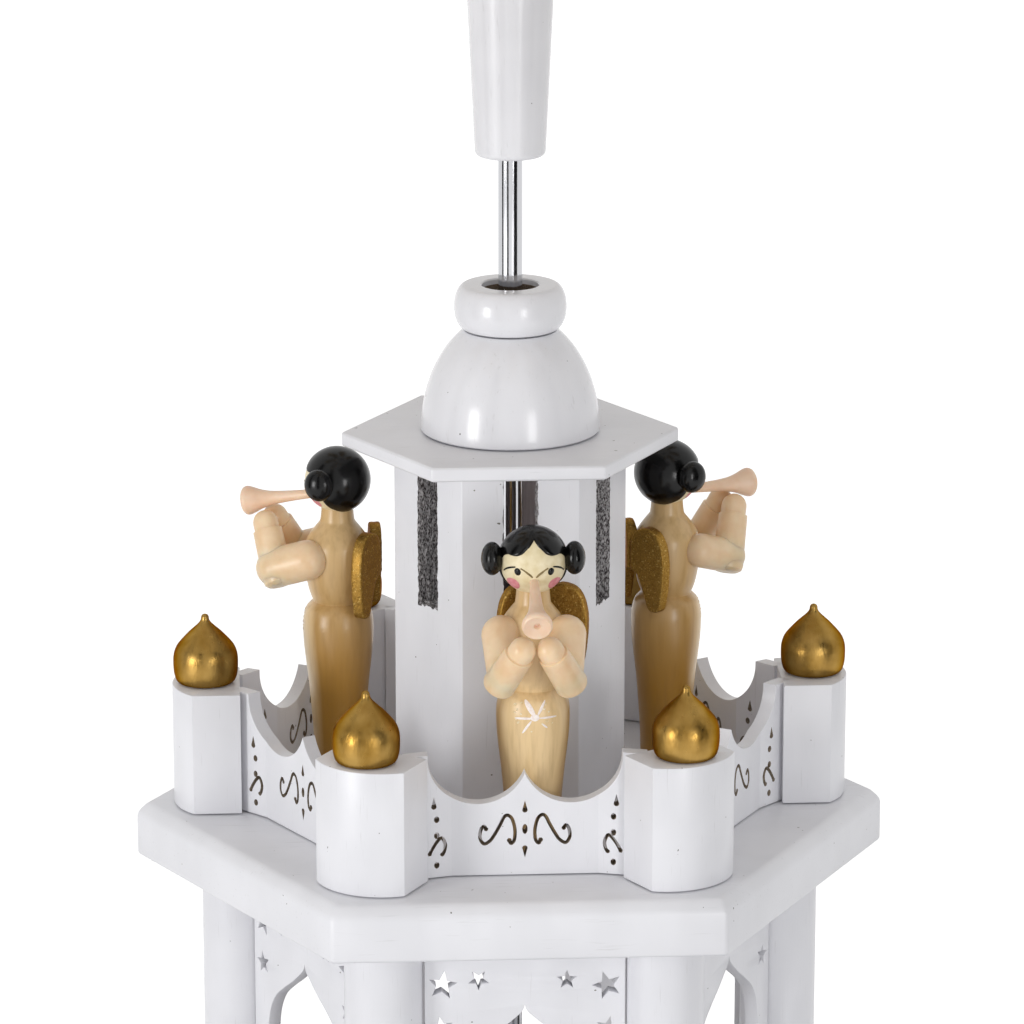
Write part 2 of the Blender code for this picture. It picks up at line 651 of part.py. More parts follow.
def make_collar_ring():
    """The turned ring above the dome; its bore guides the rod."""
    bulge = RING_RADIUS - RING_FLAT_RADIUS
    steps = 6
    side = []
    for i in range(steps + 1):
        angle = pi / 2 - pi * i / steps
        side.append((RING_FLAT_RADIUS + bulge * cos(angle), RING_HEIGHT / 2 * (1 + sin(angle))))
    guide = ROD_RADIUS + FIT
    step = RING_HEIGHT - RING_RECESS_DEPTH
    bore = [(guide, 0.0), (guide, step), (RING_RECESS_RADIUS, step), (RING_RECESS_RADIUS, RING_HEIGHT)]
    ring = turned("collar_ring", side + bore, 20, WHITE, 0.3, bored=True)
    ring.location.z = RING_FOOT


def make_rod():
    length = ROD_TOP - ROD_FOOT
    points = [(0.0, length), (ROD_RADIUS, length), (ROD_RADIUS, ROD_POINT_HEIGHT), (0.0, 0.0)]
    rod = turned("spindle_rod", points, 16, (0.62, 0.63, 0.65), 0.12, 1.0)
    rod.location.z = ROD_FOOT


def make_turntable():
    """The disc that carries three plain turned figures round the lower storey."""
    guide = ROD_RADIUS + FIT
    low = -TURNTABLE_BOSS_HEIGHT
    points = [(guide, TURNTABLE_THICKNESS), (TURNTABLE_RADIUS, TURNTABLE_THICKNESS),
              (TURNTABLE_RADIUS, 0.0), (TURNTABLE_BOSS_RADIUS, 0.0), (TURNTABLE_BOSS_RADIUS, low),
              (guide, low)]
    table = turned("turntable", points, 30, WHITE, 0.4, bored=True)
    table.location.z = BASE_TOP + TURNTABLE_CLEARANCE
    profile = [(radius * FIGURE_RADIUS, height * FIGURE_HEIGHT) for height, radius in FIGURE_SHARES]
    for index in range(FIGURE_COUNT):
        angle = index * 360 / FIGURE_COUNT
        level = table.location.z + TURNTABLE_THICKNESS
        figure = add_cutter(f"figure_{index + 1}", profile_mesh("figure", profile),
                            Matrix.Translation(polar(FIGURE_RING_RADIUS, angle, level)))
        screw(figure, 8)
        combine(table, figure, "UNION")


def paddle_place(index):
    """A frame whose +X lies along one paddle's peg."""
    return Matrix.Translation((0.0, 0.0, PADDLE_LEVEL)) @ turn_about_axis(index * 360 / PADDLE_COUNT)


def make_hub():
    """The tapered hub that is pushed on the rod, with a drilled head for the paddle pegs."""
    guide = ROD_RADIUS + FIT
    head = [(x * HUB_HEAD_RADIUS, HUB_STEM_HEIGHT + y * HUB_HEAD_HEIGHT) for x, y in HUB_HEAD_SHARES]
    stem = [(HUB_STEM_RADIUS, HUB_STEM_HEIGHT), (HUB_FOOT_RADIUS, HUB_FOOT_EDGE),
            (HUB_FOOT_RADIUS - HUB_FOOT_EDGE / 3, HUB_FOOT_EDGE / 3),
            (HUB_FOOT_RADIUS - HUB_FOOT_EDGE, 0.0)]
    bore = [(guide, 0.0), (guide, HUB_BORE_DEPTH), (0.0, HUB_BORE_DEPTH)]
    hub = turned("rotor_hub", head + stem + bore, 18, WHITE, 0.3)
    hub.location.z = HUB_FOOT
    depth = PEG_SEAT_DEPTH + FIT
    for index in range(PADDLE_COUNT):
        hole = prism_mesh("peg_hole", PEG_RADIUS + FIT, depth + OVERRUN, 10, HUB_HEAD_RADIUS - depth)
        combine(hub, add_cutter(f"peg_hole_{index + 1}", hole, paddle_place(index) @ AIM_OUT), "DIFFERENCE")
    smooth(hub)


def make_paddles():
    """Thin wooden blades on round pegs; each peg turns in the hub to set the pitch."""
    start = HUB_HEAD_RADIUS - PEG_SEAT_DEPTH
    root = start + PEG_LENGTH - PEG_LAP
    tip = root + BLADE_LENGTH
    upper = [(root, BLADE_ROOT_WIDTH / 2 - BLADE_CORNER), (root + BLADE_CORNER, BLADE_ROOT_WIDTH / 2),
             (tip - BLADE_CORNER, BLADE_TIP_WIDTH / 2), (tip, BLADE_TIP_WIDTH / 2 - BLADE_CORNER)]
    outline = upper + [(x, -y) for x, y in reversed(upper)]
    blade = board_mesh("paddle_blade", [outline], BLADE_THICKNESS)
    peg = prism_mesh("paddle_peg", PEG_RADIUS, PEG_LENGTH, 12, start)
    for index in range(PADDLE_COUNT):
        paddle = add_object(f"paddle_{index + 1}", blade.copy(), (0.72, 0.60, 0.43), 0.5)
        paddle.matrix_world = paddle_place(index) @ Matrix.Rotation(radians(PADDLE_PITCH), 4, "X")
        combine(paddle, add_cutter(f"paddle_peg_{index + 1}", peg, paddle.matrix_world @ AIM_OUT), "UNION")


def angel_profile():
    """Head and body as one turned piece."""
    below = ANGEL_HEAD_HEIGHT - ANGEL_HEAD_RADIUS
    head = [(ANGEL_HEAD_RADIUS * cos(radians(a)), ANGEL_HEAD_HEIGHT + ANGEL_HEAD_RADIUS * sin(radians(a)))
            for a in ANGEL_HEAD_LATITUDES]
    head[0] = (0.0, head[0][1])
    body = [(radius * ANGEL_HIP_RADIUS, height * below) for height, radius in ANGEL_BODY_SHARES]
    return head + body + [(0.0, 0.0)]


def arm_stations(way, hand_height):
    """The bent arm as (place, radius) stations from behind the shoulder to past the hand."""
    shoulder = Vector((0.0, way * SHOULDER_OFFSET, SHOULDER_HEIGHT))
    elbow = Vector((ELBOW_REACH, way * SHOULDER_OFFSET, ELBOW_HEIGHT))
    hand = Vector((HAND_REACH, way * HAND_OFFSET, hand_height))
    back = shoulder - (elbow - shoulder).normalized() * ARM_RADIUS
    end = hand + (hand - elbow).normalized() * HAND_RADIUS
    forearm = [(elbow.lerp(hand, along), ARM_RADIUS * wide) for along, wide in FOREARM_SHARES]
    return ([(back, ARM_RADIUS * ARM_END_SHARE), (shoulder, ARM_RADIUS)] + forearm
            + [(hand, HAND_RADIUS), (end, HAND_RADIUS * ARM_END_SHARE)])


def trumpet_stations(fall):
    direction = Vector((cos(radians(fall)), 0.0, -sin(radians(fall))))
    start = Vector((TRUMPET_START, 0.0, TRUMPET_HEIGHT))
    swell = TRUMPET_BELL_RADIUS - TRUMPET_RADIUS
    return [(start + direction * TRUMPET_LENGTH * along, TRUMPET_RADIUS + swell * wide)
            for along, wide in TRUMPET_SHARES]


def bun_mesh(way):
    mesh = bpy.data.meshes.new("bun")
    shape = bmesh.new()
    bmesh.ops.create_uvsphere(shape, u_segments=8, v_segments=6, radius=BUN_RADIUS)
    bmesh.ops.scale(shape, vec=BUN_FORM_SHARES, verts=shape.verts)
    bmesh.ops.translate(shape, vec=(0.0, way * BUN_OFFSET, ANGEL_HEAD_HEIGHT), verts=shape.verts)
    shape.to_mesh(mesh)
    shape.free()
    return mesh


def wings_outline():
    """Two rounded lobes joined at the spine, in the plane of the back."""
    right = [(x * WING_WIDTH, y * WING_HEIGHT) for x, y in WING_SHARES]
    return right + [(-x, y) for x, y in reversed(right[1:-1])]


def make_angels():
    body_mesh = profile_mesh("angel_body", angel_profile())
    wings = board_mesh("angel_wings", [wings_outline()], WING_THICKNESS)
    wings.transform(UPRIGHT)
    back = -ANGEL_HIP_RADIUS * ANGEL_CHEST_SHARE - FIT - WING_THICKNESS / 2
    wings.transform(Matrix.Translation((back, 0.0, WING_BOTTOM)) @ Matrix.Rotation(pi / 2, 4, "Z"))
    for name, bearing, facing, fall, hand_height in ANGELS:
        stand = Matrix.Translation(polar(ANGEL_RING_RADIUS, bearing, GALLERY)) @ turn_about_axis(facing)
        angel = add_object(name, body_mesh.copy(), WOOD, 0.4)
        angel.matrix_world = stand
        screw(angel, 10)
        added = {"trumpet": rod_mesh("trumpet", trumpet_stations(fall))}
        for side, way in (("left", 1), ("right", -1)):
            added[side + "_bun"] = bun_mesh(way)
            added[side + "_arm"] = rod_mesh("arm", arm_stations(way, hand_height))
        for part, mesh in added.items():
            combine(angel, add_cutter(f"{name}_{part}", mesh, stand), "UNION")
        pair = add_object(f"{name}_wings", wings.copy(), GOLD, 0.45, 0.8)
        pair.matrix_world = stand


make_base()
make_pivot_cup()
make_candle_cups()
make_columns()
make_arch_panels()
make_platform()
make_posts()
make_onions()
make_fence_panels()
make_tower()
make_roof()
make_dome()
make_collar_ring()
make_rod()
make_turntable()
make_hub()
make_paddles()
make_angels()
bpy.context.view_layer.update()
print("sub-parts:", len(carousel.objects), "top of the hub:", round(HUB_HEAD_FOOT + HUB_HEAD_HEIGHT, 4))
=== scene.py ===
# %% [markdown]
# A candle carousel in white paint and turned wood
# Six candles on a base plate warm the air, and the air turns a rotor on a steel spindle. Between
# them stand two storeys: columns with pierced arches below, and above them a fenced gallery where
# three wooden figures blow their trumpets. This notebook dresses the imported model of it.

# %% Load the frame
import bpy
import bmesh
from math import acos, asin, atan2, cos, pi, radians, sin, sqrt, tan
from mathutils import Matrix, Vector, noise


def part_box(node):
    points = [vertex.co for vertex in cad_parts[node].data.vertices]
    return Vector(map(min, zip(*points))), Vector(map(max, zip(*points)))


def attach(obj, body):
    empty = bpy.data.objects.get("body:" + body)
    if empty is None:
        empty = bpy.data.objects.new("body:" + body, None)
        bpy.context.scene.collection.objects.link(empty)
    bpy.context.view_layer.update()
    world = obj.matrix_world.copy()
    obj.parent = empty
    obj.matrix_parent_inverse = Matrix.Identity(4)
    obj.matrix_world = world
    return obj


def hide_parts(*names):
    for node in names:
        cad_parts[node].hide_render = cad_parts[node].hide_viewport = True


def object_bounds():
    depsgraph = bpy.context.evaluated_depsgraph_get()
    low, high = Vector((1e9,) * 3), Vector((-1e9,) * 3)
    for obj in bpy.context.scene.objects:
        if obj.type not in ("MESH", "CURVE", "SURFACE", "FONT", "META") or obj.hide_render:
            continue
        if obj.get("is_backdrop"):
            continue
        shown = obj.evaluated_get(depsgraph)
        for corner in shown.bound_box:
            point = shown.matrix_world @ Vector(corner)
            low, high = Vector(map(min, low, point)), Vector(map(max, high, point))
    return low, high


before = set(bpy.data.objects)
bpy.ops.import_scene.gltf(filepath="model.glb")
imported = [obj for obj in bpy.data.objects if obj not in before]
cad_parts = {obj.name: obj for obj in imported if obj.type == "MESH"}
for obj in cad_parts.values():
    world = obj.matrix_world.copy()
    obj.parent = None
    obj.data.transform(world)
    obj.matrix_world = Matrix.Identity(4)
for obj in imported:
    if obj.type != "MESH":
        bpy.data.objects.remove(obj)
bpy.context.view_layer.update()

# %% [markdown]
# Everything is in metres, and each piece is set against the box of the solid that it stands for, so
# the sizes below are read from the frame. The level that the figures stand on comes first.

# %% Sizes from the frame
MM = 0.001
SIDES = 6
HALF_SIDE = radians(180 / SIDES)


def size_of(node):
    """The lowest corner of a solid, its highest corner and its middle."""
    low, high = (Vector(corner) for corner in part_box(node))
    return low, high, (low + high) / 2


def round_size(node):
    """Radius, height and foot of a turned solid, and how far from the axis it stands."""
    low, high, middle = size_of(node)
    return (high.y - low.y) / 2, high.z - low.z, low.z, middle.x


def add_object(name, data):
    """An object in the scene with this mesh, curve, lamp or camera."""
    item = bpy.data.objects.new(name, data)
    bpy.context.scene.collection.objects.link(item)
    return item


GALLERY = size_of("tower")[0].z
print("gallery floor at", round(GALLERY, 4))

# %% [markdown]
# The camera
# The picture was taken from about a metre away with a long lens, looking a little down, so upright
# edges stay nearly parallel. The spindle stands just left of the middle of the picture, which is
# why the camera is turned by two hundredths of a degree.

# %% Camera
LENS_MM = 175.8
CAMERA_DISTANCE = 1.006
CAMERA_HEIGHT = 0.4666
CAMERA_SIDE = radians(3.3)
CAMERA_FALL = radians(15.49)
CAMERA_TURN = radians(0.02)

camera = add_object("camera", bpy.data.cameras.new("camera"))
bpy.context.scene.camera = camera
camera.data.lens = LENS_MM
camera.data.sensor_width = 36
camera.data.clip_start = CAMERA_DISTANCE / 20
camera.location = (-CAMERA_DISTANCE * sin(CAMERA_SIDE), -CAMERA_DISTANCE * cos(CAMERA_SIDE),
                   CAMERA_HEIGHT)
camera.rotation_euler = (pi / 2 - CAMERA_FALL, 0.0, -CAMERA_SIDE - CAMERA_TURN)
print("camera at", [round(value, 3) for value in camera.location])

# %% [markdown]
# Helpers for materials
# A colour is written as people write it for a screen, and one function turns it to the linear
# values that the renderer adds up. One small function adds a node: its settings are keywords, and
# each of its sockets gets a plain value or another node, whose first output is linked to it.

# %% Colours and nodes


def linear(code):
    """A colour such as E4E4E8 as linear red, green, blue and alpha."""
    shares = [int(code[i:i + 2], 16) / 255 for i in (0, 2, 4)]
    return (*[s / 12.92 if s <= 0.04045 else ((s + 0.055) / 1.055) ** 2.4 for s in shares], 1.0)


def add_node(tree, kind, sockets=None, **settings):
    node = tree.nodes.new("ShaderNode" + kind)
    for name, value in settings.items():
        setattr(node, name, value)
    for socket, value in (sockets or {}).items():
        source = value.outputs[0] if isinstance(value, bpy.types.Node) else value
        if isinstance(source, bpy.types.NodeSocket):
            tree.links.new(source, node.inputs[socket])
        else:
            node.inputs[socket].default_value = source
    return node


def new_finish(name, **sockets):
    """A material whose shader sockets hold plain values, and the tree of its nodes."""
    finish = bpy.data.materials.new(name)
    finish.use_nodes = True
    for socket, value in sockets.items():
        shader = finish.node_tree.nodes["Principled BSDF"]
        shader.inputs[socket.replace("_", " ")].default_value = value
    return finish, finish.node_tree


def drive(tree, **outputs):
    """Leads outputs into the shader's sockets."""
    for socket, output in outputs.items():
        tree.links.new(output, tree.nodes["Principled BSDF"].inputs[socket.replace("_", " ")])


# %% [markdown]
# Real sizes for patterns
# Noise with a scale of one has spots about a metre wide. So coordinates are multiplied by one over
# the size that a spot has on the real thing, in millimetres along X, Y and Z. Wood grain is narrow
# across and long along, while dust and dimples are as long as wide. Most finishes here are of one
# kind: colour, and often gloss, wander between two values over such spots, which stand up a little.

# %% Patterns with real sizes


def spot_scale(x, y, z):
    return (1 / (x * MM), 1 / (y * MM), 1 / (z * MM))


def two_tone(name, first, second, spots, spread, depth, gloss=None, detail=3.0, wander=0.0, **sockets):
    """Two colours in spots; spread is the noise's span between them, and depth the spots' relief."""
    finish, tree = new_finish(name, **sockets)
    place = add_node(tree, "TexCoord").outputs["Object"]
    spot_place = add_node(tree, "Mapping", {"Vector": place, "Scale": spot_scale(*spots)})
    cloud = add_node(tree, "TexNoise", {"Vector": spot_place, "Scale": 1.0, "Detail": detail,
                                        "Distortion": wander})
    share = add_node(tree, "MapRange", {"Value": cloud, "From Min": 0.5 - spread / 2,
                                        "From Max": 0.5 + spread / 2})
    colours = {0: share, 6: linear(first), 7: linear(second)}
    colour = add_node(tree, "Mix", colours, data_type="RGBA").outputs[2]
    uneven = add_node(tree, "Bump", {"Height": cloud, "Distance": depth * MM}).outputs[0]
    drive(tree, Base_Color=colour, Normal=uneven)
    if gloss:
        rough = add_node(tree, "MapRange", {"Value": cloud, "From Min": 0.3, "From Max": 0.7,
                                            "To Min": gloss[0], "To Max": gloss[1]}).outputs[0]
        drive(tree, Roughness=rough)
    return finish


# %% [markdown]
# White paint
# The boards, posts and turned parts are wood under a satin white acrylic paint, thinly sprayed. The
# paint is almost neutral, a hair cold, and reflects as dielectrics do. What shows is its gloss: the
# grain below it lifts the film by a few hundredths of a millimetre, which frays the edges of the
# highlights. Turned parts were sanded on the lathe and shine more. Rare specks of dust are in it.

# %% Satin acrylic paint


def acrylic_paint(name, grain, grain_depth, gloss):
    finish, tree = new_finish(name, IOR=1.47)
    place = add_node(tree, "TexCoord").outputs["Object"]
    grain_place = add_node(tree, "Mapping", {"Vector": place, "Scale": spot_scale(*grain)})
    fibres = add_node(tree, "TexNoise", {"Vector": grain_place, "Scale": 1.0, "Detail": 3.0})
    film_place = add_node(tree, "Mapping", {"Vector": place, "Scale": spot_scale(3.0, 3.0, 5.0)})
    film = add_node(tree, "TexNoise", {"Vector": film_place, "Scale": 1.0, "Detail": 1.0})
    cloud_place = add_node(tree, "Mapping", {"Vector": place, "Scale": spot_scale(14, 14, 22)})
    cloud = add_node(tree, "TexNoise", {"Vector": cloud_place, "Scale": 1.0, "Detail": 2.0})
    dust_place = add_node(tree, "Mapping", {"Vector": place, "Scale": spot_scale(0.9, 0.9, 0.9)})
    dust = add_node(tree, "TexNoise", {"Vector": dust_place, "Scale": 1.0, "Detail": 0.0})
    tone = add_node(tree, "MapRange", {"Value": cloud, "From Min": 0.35, "From Max": 0.65})
    tones = {0: tone, 6: linear("DFDFE3"), 7: linear("E6E6EA")}
    paint = add_node(tree, "Mix", tones, data_type="RGBA").outputs[2]
    vein = add_node(tree, "MapRange", {"Value": fibres, "From Min": 0.36, "From Max": 0.24, "To Max": 0.35})
    veined = {0: vein, 6: paint, 7: linear("C4C3C4")}
    paint = add_node(tree, "Mix", veined, data_type="RGBA").outputs[2]
    speck = add_node(tree, "MapRange", {"Value": dust, "From Min": 0.125, "From Max": 0.11})
    dusted = {0: speck, 6: paint, 7: linear("6F6B66")}
    paint = add_node(tree, "Mix", dusted, data_type="RGBA").outputs[2]
    rough = add_node(tree, "MapRange", {"Value": cloud, "From Min": 0.3, "From Max": 0.7, "To Min": gloss,
                                        "To Max": gloss + 0.08}).outputs[0]
    wavy = add_node(tree, "Bump", {"Height": film, "Distance": 2 * grain_depth * MM})
    ridged = add_node(tree, "Bump", {"Height": fibres, "Distance": grain_depth * MM,
                                     "Normal": wavy}).outputs[0]
    drive(tree, Base_Color=paint, Roughness=rough, Normal=ridged)
    return finish


board_paint = acrylic_paint("satin_acrylic_paint_on_upright_boards", (0.5, 0.5, 8), 0.014, 0.30)
deck_paint = acrylic_paint("satin_acrylic_paint_on_lying_boards", (10, 0.6, 0.6), 0.012, 0.34)
lathe_paint = acrylic_paint("satin_acrylic_paint_on_turned_wood", (0.7, 0.7, 5), 0.007, 0.15)
print("white paints:", board_paint.name, deck_paint.name, lathe_paint.name)

# %% [markdown]
# Bare wood
# Where a saw or a chisel cut after painting, the wood shows: grey and torn in the slots of the
# tower, brown in the cut-outs of the fence, and darker in the turned recess above the dome. Torn
# fibres are long, so their noise is many times longer than wide, and its contrast is high.

# %% Torn, sawn and turned wood
RAW = dict(detail=5.0, Roughness=0.8, IOR=1.5, Specular_IOR_Level=0.3)
torn_wood = two_tone("torn_lime_wood_with_paint_dust", "453F40", "D2CFD0", (0.28, 0.28, 0.6), 0.22, 0.30,
                     **RAW)
inner_wood = two_tone("raw_lime_wood_inside", "9C9090", "C4BABA", (1.0, 1.0, 16.0), 0.40, 0.12, **RAW)
sawn_wood = two_tone("fretsawn_plywood_edge", "7A6A58", "A89C8C", (0.6, 0.6, 0.6), 0.40, 0.08, **RAW)
turned_dark_wood = two_tone("raw_turned_wood", "54453A", "8B7C6A", (0.3, 0.3, 0.3), 0.50, 0.10, **RAW)
peg_wood = two_tone("sanded_beech", "B08D5E", "D2B48A", (0.8, 0.8, 14.0), 0.50, 0.05, **RAW)
print("bare woods:", torn_wood.name, inner_wood.name, sawn_wood.name, turned_dark_wood.name, peg_wood.name)

# %% [markdown]
# Blades
# The rotor's blades are thin sliced wood, unpainted. Their grain runs along the blade, away from
# the axis, and each blade lies in its own direction, so the grain is drawn in each blade's own
# coordinates, where X runs along the blade. A little distortion makes the grain wander.

# %% Sliced wood for the blades
blade_wood = two_tone("sliced_limewood_blade", "B9976A", "DCC6A0", (26, 1.1, 1.1), 0.36, 0.04, detail=5.0,
                      wander=0.4, Roughness=0.55, IOR=1.5)
print("blade grain:", blade_wood.name)

# %% [markdown]
# Antique gold
# The onions are turned wood under bronze powder paint, brushed on upright. It is a metal to the
# eye, dark olive where it mirrors nothing bright, but its brush marks, half a millimetre wide and
# three times as long, break the two lamps' highlights into foil-like flecks. The specular tint is
# what a metal reflects at grazing angles, here brown, because the powder grows darker there.

# %% Bronze powder paint
gilt, tree = new_finish("antique_bronze_powder_paint", Metallic=1.0, Specular_Tint=linear("A8803E"))
place = add_node(tree, "TexCoord").outputs["Object"]
stroke_place = add_node(tree, "Mapping", {"Vector": place, "Scale": spot_scale(0.6, 0.6, 1.7)})
strokes = add_node(tree, "TexNoise", {"Vector": stroke_place, "Scale": 1.0, "Detail": 3.0, "Distortion": 0.8})
patch_place = add_node(tree, "Mapping", {"Vector": place, "Scale": spot_scale(4, 4, 4)})
patches = add_node(tree, "TexNoise", {"Vector": patch_place, "Scale": 1.0, "Detail": 2.0})
share = add_node(tree, "MapRange", {"Value": patches, "From Min": 0.3, "From Max": 0.7})
colours = {0: share, 6: linear("8C6B30"), 7: linear("A8874A")}
colour = add_node(tree, "Mix", colours, data_type="RGBA").outputs[2]
rough = add_node(tree, "MapRange", {"Value": strokes, "From Min": 0.3, "From Max": 0.7, "To Min": 0.27,
                                    "To Max": 0.42}).outputs[0]
brushed = add_node(tree, "Bump", {"Height": strokes, "Distance": 0.055 * MM}).outputs[0]
drive(tree, Base_Color=colour, Roughness=rough, Normal=brushed)
print("gilt:", gilt.name)

# %% [markdown]
# Steel
# The spindle is drawn steel rod, bright and nearly smooth. Drawing leaves fine lines along it, so
# the roughness varies round the rod and hardly along it. The washer and the pivot cup are pressed
# from zinc plated sheet, which is greyer and matt.

# %% Drawn and pressed steel


def bright_metal(name, colour, marks, low_gloss, high_gloss, depth):
    finish, tree = new_finish(name, Base_Color=linear(colour), Metallic=1.0)
    place = add_node(tree, "TexCoord").outputs["Object"]
    mark_place = add_node(tree, "Mapping", {"Vector": place, "Scale": spot_scale(*marks)})
    lines = add_node(tree, "TexNoise", {"Vector": mark_place, "Scale": 1.0, "Detail": 2.0})
    rough = add_node(tree, "MapRange", {"Value": lines, "From Min": 0.35, "From Max": 0.65,
                                        "To Min": low_gloss, "To Max": high_gloss}).outputs[0]
    scored = add_node(tree, "Bump", {"Height": lines, "Distance": depth * MM}).outputs[0]
    drive(tree, Roughness=rough, Normal=scored)
    return finish


steel = bright_metal("bright_drawn_steel", "C4C5C8", (0.4, 0.4, 24), 0.06, 0.14, 0.006)
pressed_steel = bright_metal("pressed_zinc_plated_steel", "8C8D8F", (0.3, 0.3, 0.3), 0.35, 0.55, 0.03)
print("steels:", steel.name, pressed_steel.name)

# %% [markdown]
# The figures' wood
# Body and head are one turned piece of wood under a satin varnish. Its colour holds painted shade: it turns
# golden brown low down, where the fence's shadow falls, and towards the back and sides, while the front and
# the chest stay pale. So the colour follows two places on the body: its height, and how far forward a point
# lies, which is X in the figure's own coordinates. The larger of the two shares wins.

# %% Varnished wood
varnish, tree = new_finish("varnished_turned_maple", IOR=1.5, Coat_Weight=0.2, Coat_Roughness=0.25)
place = add_node(tree, "TexCoord").outputs["Object"]
apart = add_node(tree, "SeparateXYZ", {"Vector": place})
# Painted shade: golden brown low down and at the back and sides, pale at the front and chest
painted_light_by_height = add_node(tree, "MapRange", {"Value": apart.outputs["Z"], "From Min": 15 * MM,
                                           "From Max": 54 * MM, "To Max": 0.6},
                        interpolation_type="SMOOTHSTEP")
painted_light_by_front = add_node(tree, "MapRange", {"Value": apart.outputs["X"], "From Min": 1.5 * MM,
                                          "From Max": 5 * MM})
painted_light_share = add_node(tree, "Math", {0: painted_light_by_height, 1: painted_light_by_front}, operation="MAXIMUM")
colours = {0: painted_light_share, 6: linear("A27422"), 7: linear("E6C896")}
body_colour = add_node(tree, "Mix", colours, data_type="RGBA").outputs[2]
grain_place = add_node(tree, "Mapping", {"Vector": place, "Scale": spot_scale(1.1, 1.1, 13)})
figure = add_node(tree, "TexNoise", {"Vector": grain_place, "Scale": 1.0, "Detail": 4.0})
streak = add_node(tree, "MapRange", {"Value": figure, "From Min": 0.55, "From Max": 0.30, "To Max": 0.22})
streaked = {0: streak, 6: body_colour, 7: linear("8A6128")}
body_colour = add_node(tree, "Mix", streaked, data_type="RGBA").outputs[2]
rough = add_node(tree, "MapRange", {"Value": figure, "From Min": 0.3, "From Max": 0.7, "To Min": 0.30,
                                    "To Max": 0.40}).outputs[0]
ridged = add_node(tree, "Bump", {"Height": figure, "Distance": 0.010 * MM}).outputs[0]
drive(tree, Base_Color=body_colour, Roughness=rough, Normal=ridged)
print("figures:", varnish.name)

# %% [markdown]
# Resin, enamel and paint marks
# The arms and the trumpet are moulded resin, which light enters a little way: that is subsurface
# scattering. Hair is black gloss enamel, put on thickly. The marks of face and flower are thin
# paint.

# %% Resins, enamel and paints
RESIN = dict(spots=(4, 4, 4), spread=0.3, depth=0.02, gloss=(0.30, 0.40), IOR=1.5, Subsurface_Weight=0.3,
             Subsurface_Scale=2 * MM, Subsurface_Radius=(1.0, 0.55, 0.3))
resin = two_tone("moulded_beige_resin", "E6C59C", "EED4B0", **RESIN)
rose_resin = two_tone("moulded_rose_beige_resin", "E8C6A8", "EED2B8", **RESIN)
enamel = two_tone("black_gloss_enamel", "040404", "0A0A0A", (3, 3, 3), 0.3, 0.06, (0.16, 0.28), IOR=1.5,
                  Specular_IOR_Level=0.28)
# Each paint: its two colours, the size and depth of its spots in millimetres, its gloss and its IOR
PAINTS = {"pale_matt_face_paint": ("E0D0A6", "EDE0BE", 1.8, 0.01, (0.34, 0.46), 1.45),
          "brown_brush_line": ("6E5C36", "8E7A4E", 0.6, 0.01, (0.4, 0.5), 1.45),
          "rose_cheek_paint": ("D27E86", "DE969C", 0.8, 0.01, (0.4, 0.55), 1.45),
          "pearl_flower_paint": ("F1E3DC", "FFF8F4", 0.6, 0.04, (0.35, 0.5), 1.5),
          "pale_gold_fleck_paint": ("D9BE86", "FBF0D6", 0.45, 0.05, (0.25, 0.45), 1.5)}
face_paint, liner, blush, petal, fleck_paint = [
    two_tone(name, first, second, (size, size, size), 0.3, depth, gloss, IOR=bend)
    for name, (first, second, size, depth, gloss, bend) in PAINTS.items()]
print("resins, enamel and paints: 8")

# %% [markdown]
# Glitter
# The wings are card with fine gold glitter sprinkled on glue. A flake is a tiny mirror that lies at its own
# angle. Voronoi cells give each flake one colour at random, which is used twice: to tilt the normal, so that
# a few flakes catch the light, and to paint a pale gold glint into the colour of a few of them, a painted
# highlight. Real flakes are 0.1 mm; here they are 0.25 mm, or they would not show.

# %% Glitter card
glitter, tree = new_finish("gold_glitter_card", Metallic=0.75, Specular_Tint=linear("8A5E26"))
place = add_node(tree, "TexCoord").outputs["Object"]
flakes = add_node(tree, "TexVoronoi", {"Vector": place, "Scale": 1 / (0.25 * MM)})
flake = add_node(tree, "SeparateXYZ", {"Vector": flakes.outputs["Color"]})
share = add_node(tree, "MapRange", {"Value": flake, "From Min": 0.0, "From Max": 0.8})
colours = {0: share, 6: linear("8A682E"), 7: linear("AE8844")}
colour = add_node(tree, "Mix", colours, data_type="RGBA").outputs[2]
# Painted highlight: a few flakes get a pale gold glint in their colour
painted_glint_share = add_node(tree, "MapRange", {"Value": flake, "From Min": 0.93, "From Max": 0.97, "To Max": 0.6})
painted_glints = {0: painted_glint_share, 6: colour, 7: linear("E2C47A")}
colour = add_node(tree, "Mix", painted_glints, data_type="RGBA").outputs[2]
rough = add_node(tree, "MapRange", {"Value": flake, "To Min": 0.36, "To Max": 0.55}).outputs[0]
tilted = add_node(tree, "Bump", {"Height": flake, "Distance": 0.05 * MM}).outputs[0]
drive(tree, Base_Color=colour, Roughness=rough, Normal=tilted)
print("glitter flakes of 0.25 mm")

# %% [markdown]
# Helpers for shapes
# Most of this object was made on a lathe or cut from boards. A turned piece is half a section spun
# round the Z axis. A board is a flat curve with holes, given a thickness, whose small rounded bevel
# catches the light along its edges as sanded and painted edges do.

# %% Adding a piece
shown = []


def add_piece(name, mesh, finish, body="root", stands_for=(), place=Matrix()):
    """Puts a mesh in the scene with its finish, and lets it ride on a body of the frame."""
    piece = add_object(name, mesh)
    if not mesh.materials:
        mesh.materials.append(finish)
    piece.matrix_world = place
    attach(piece, body)
    if stands_for:
        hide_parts(*stands_for)
    shown.append(name)


def painted(node, mesh, finish, place=Matrix(), body="root"):
    """Adds the painted piece that stands for the solid of this name."""
    add_piece(node + "_painted", mesh, finish, body, [node], place)


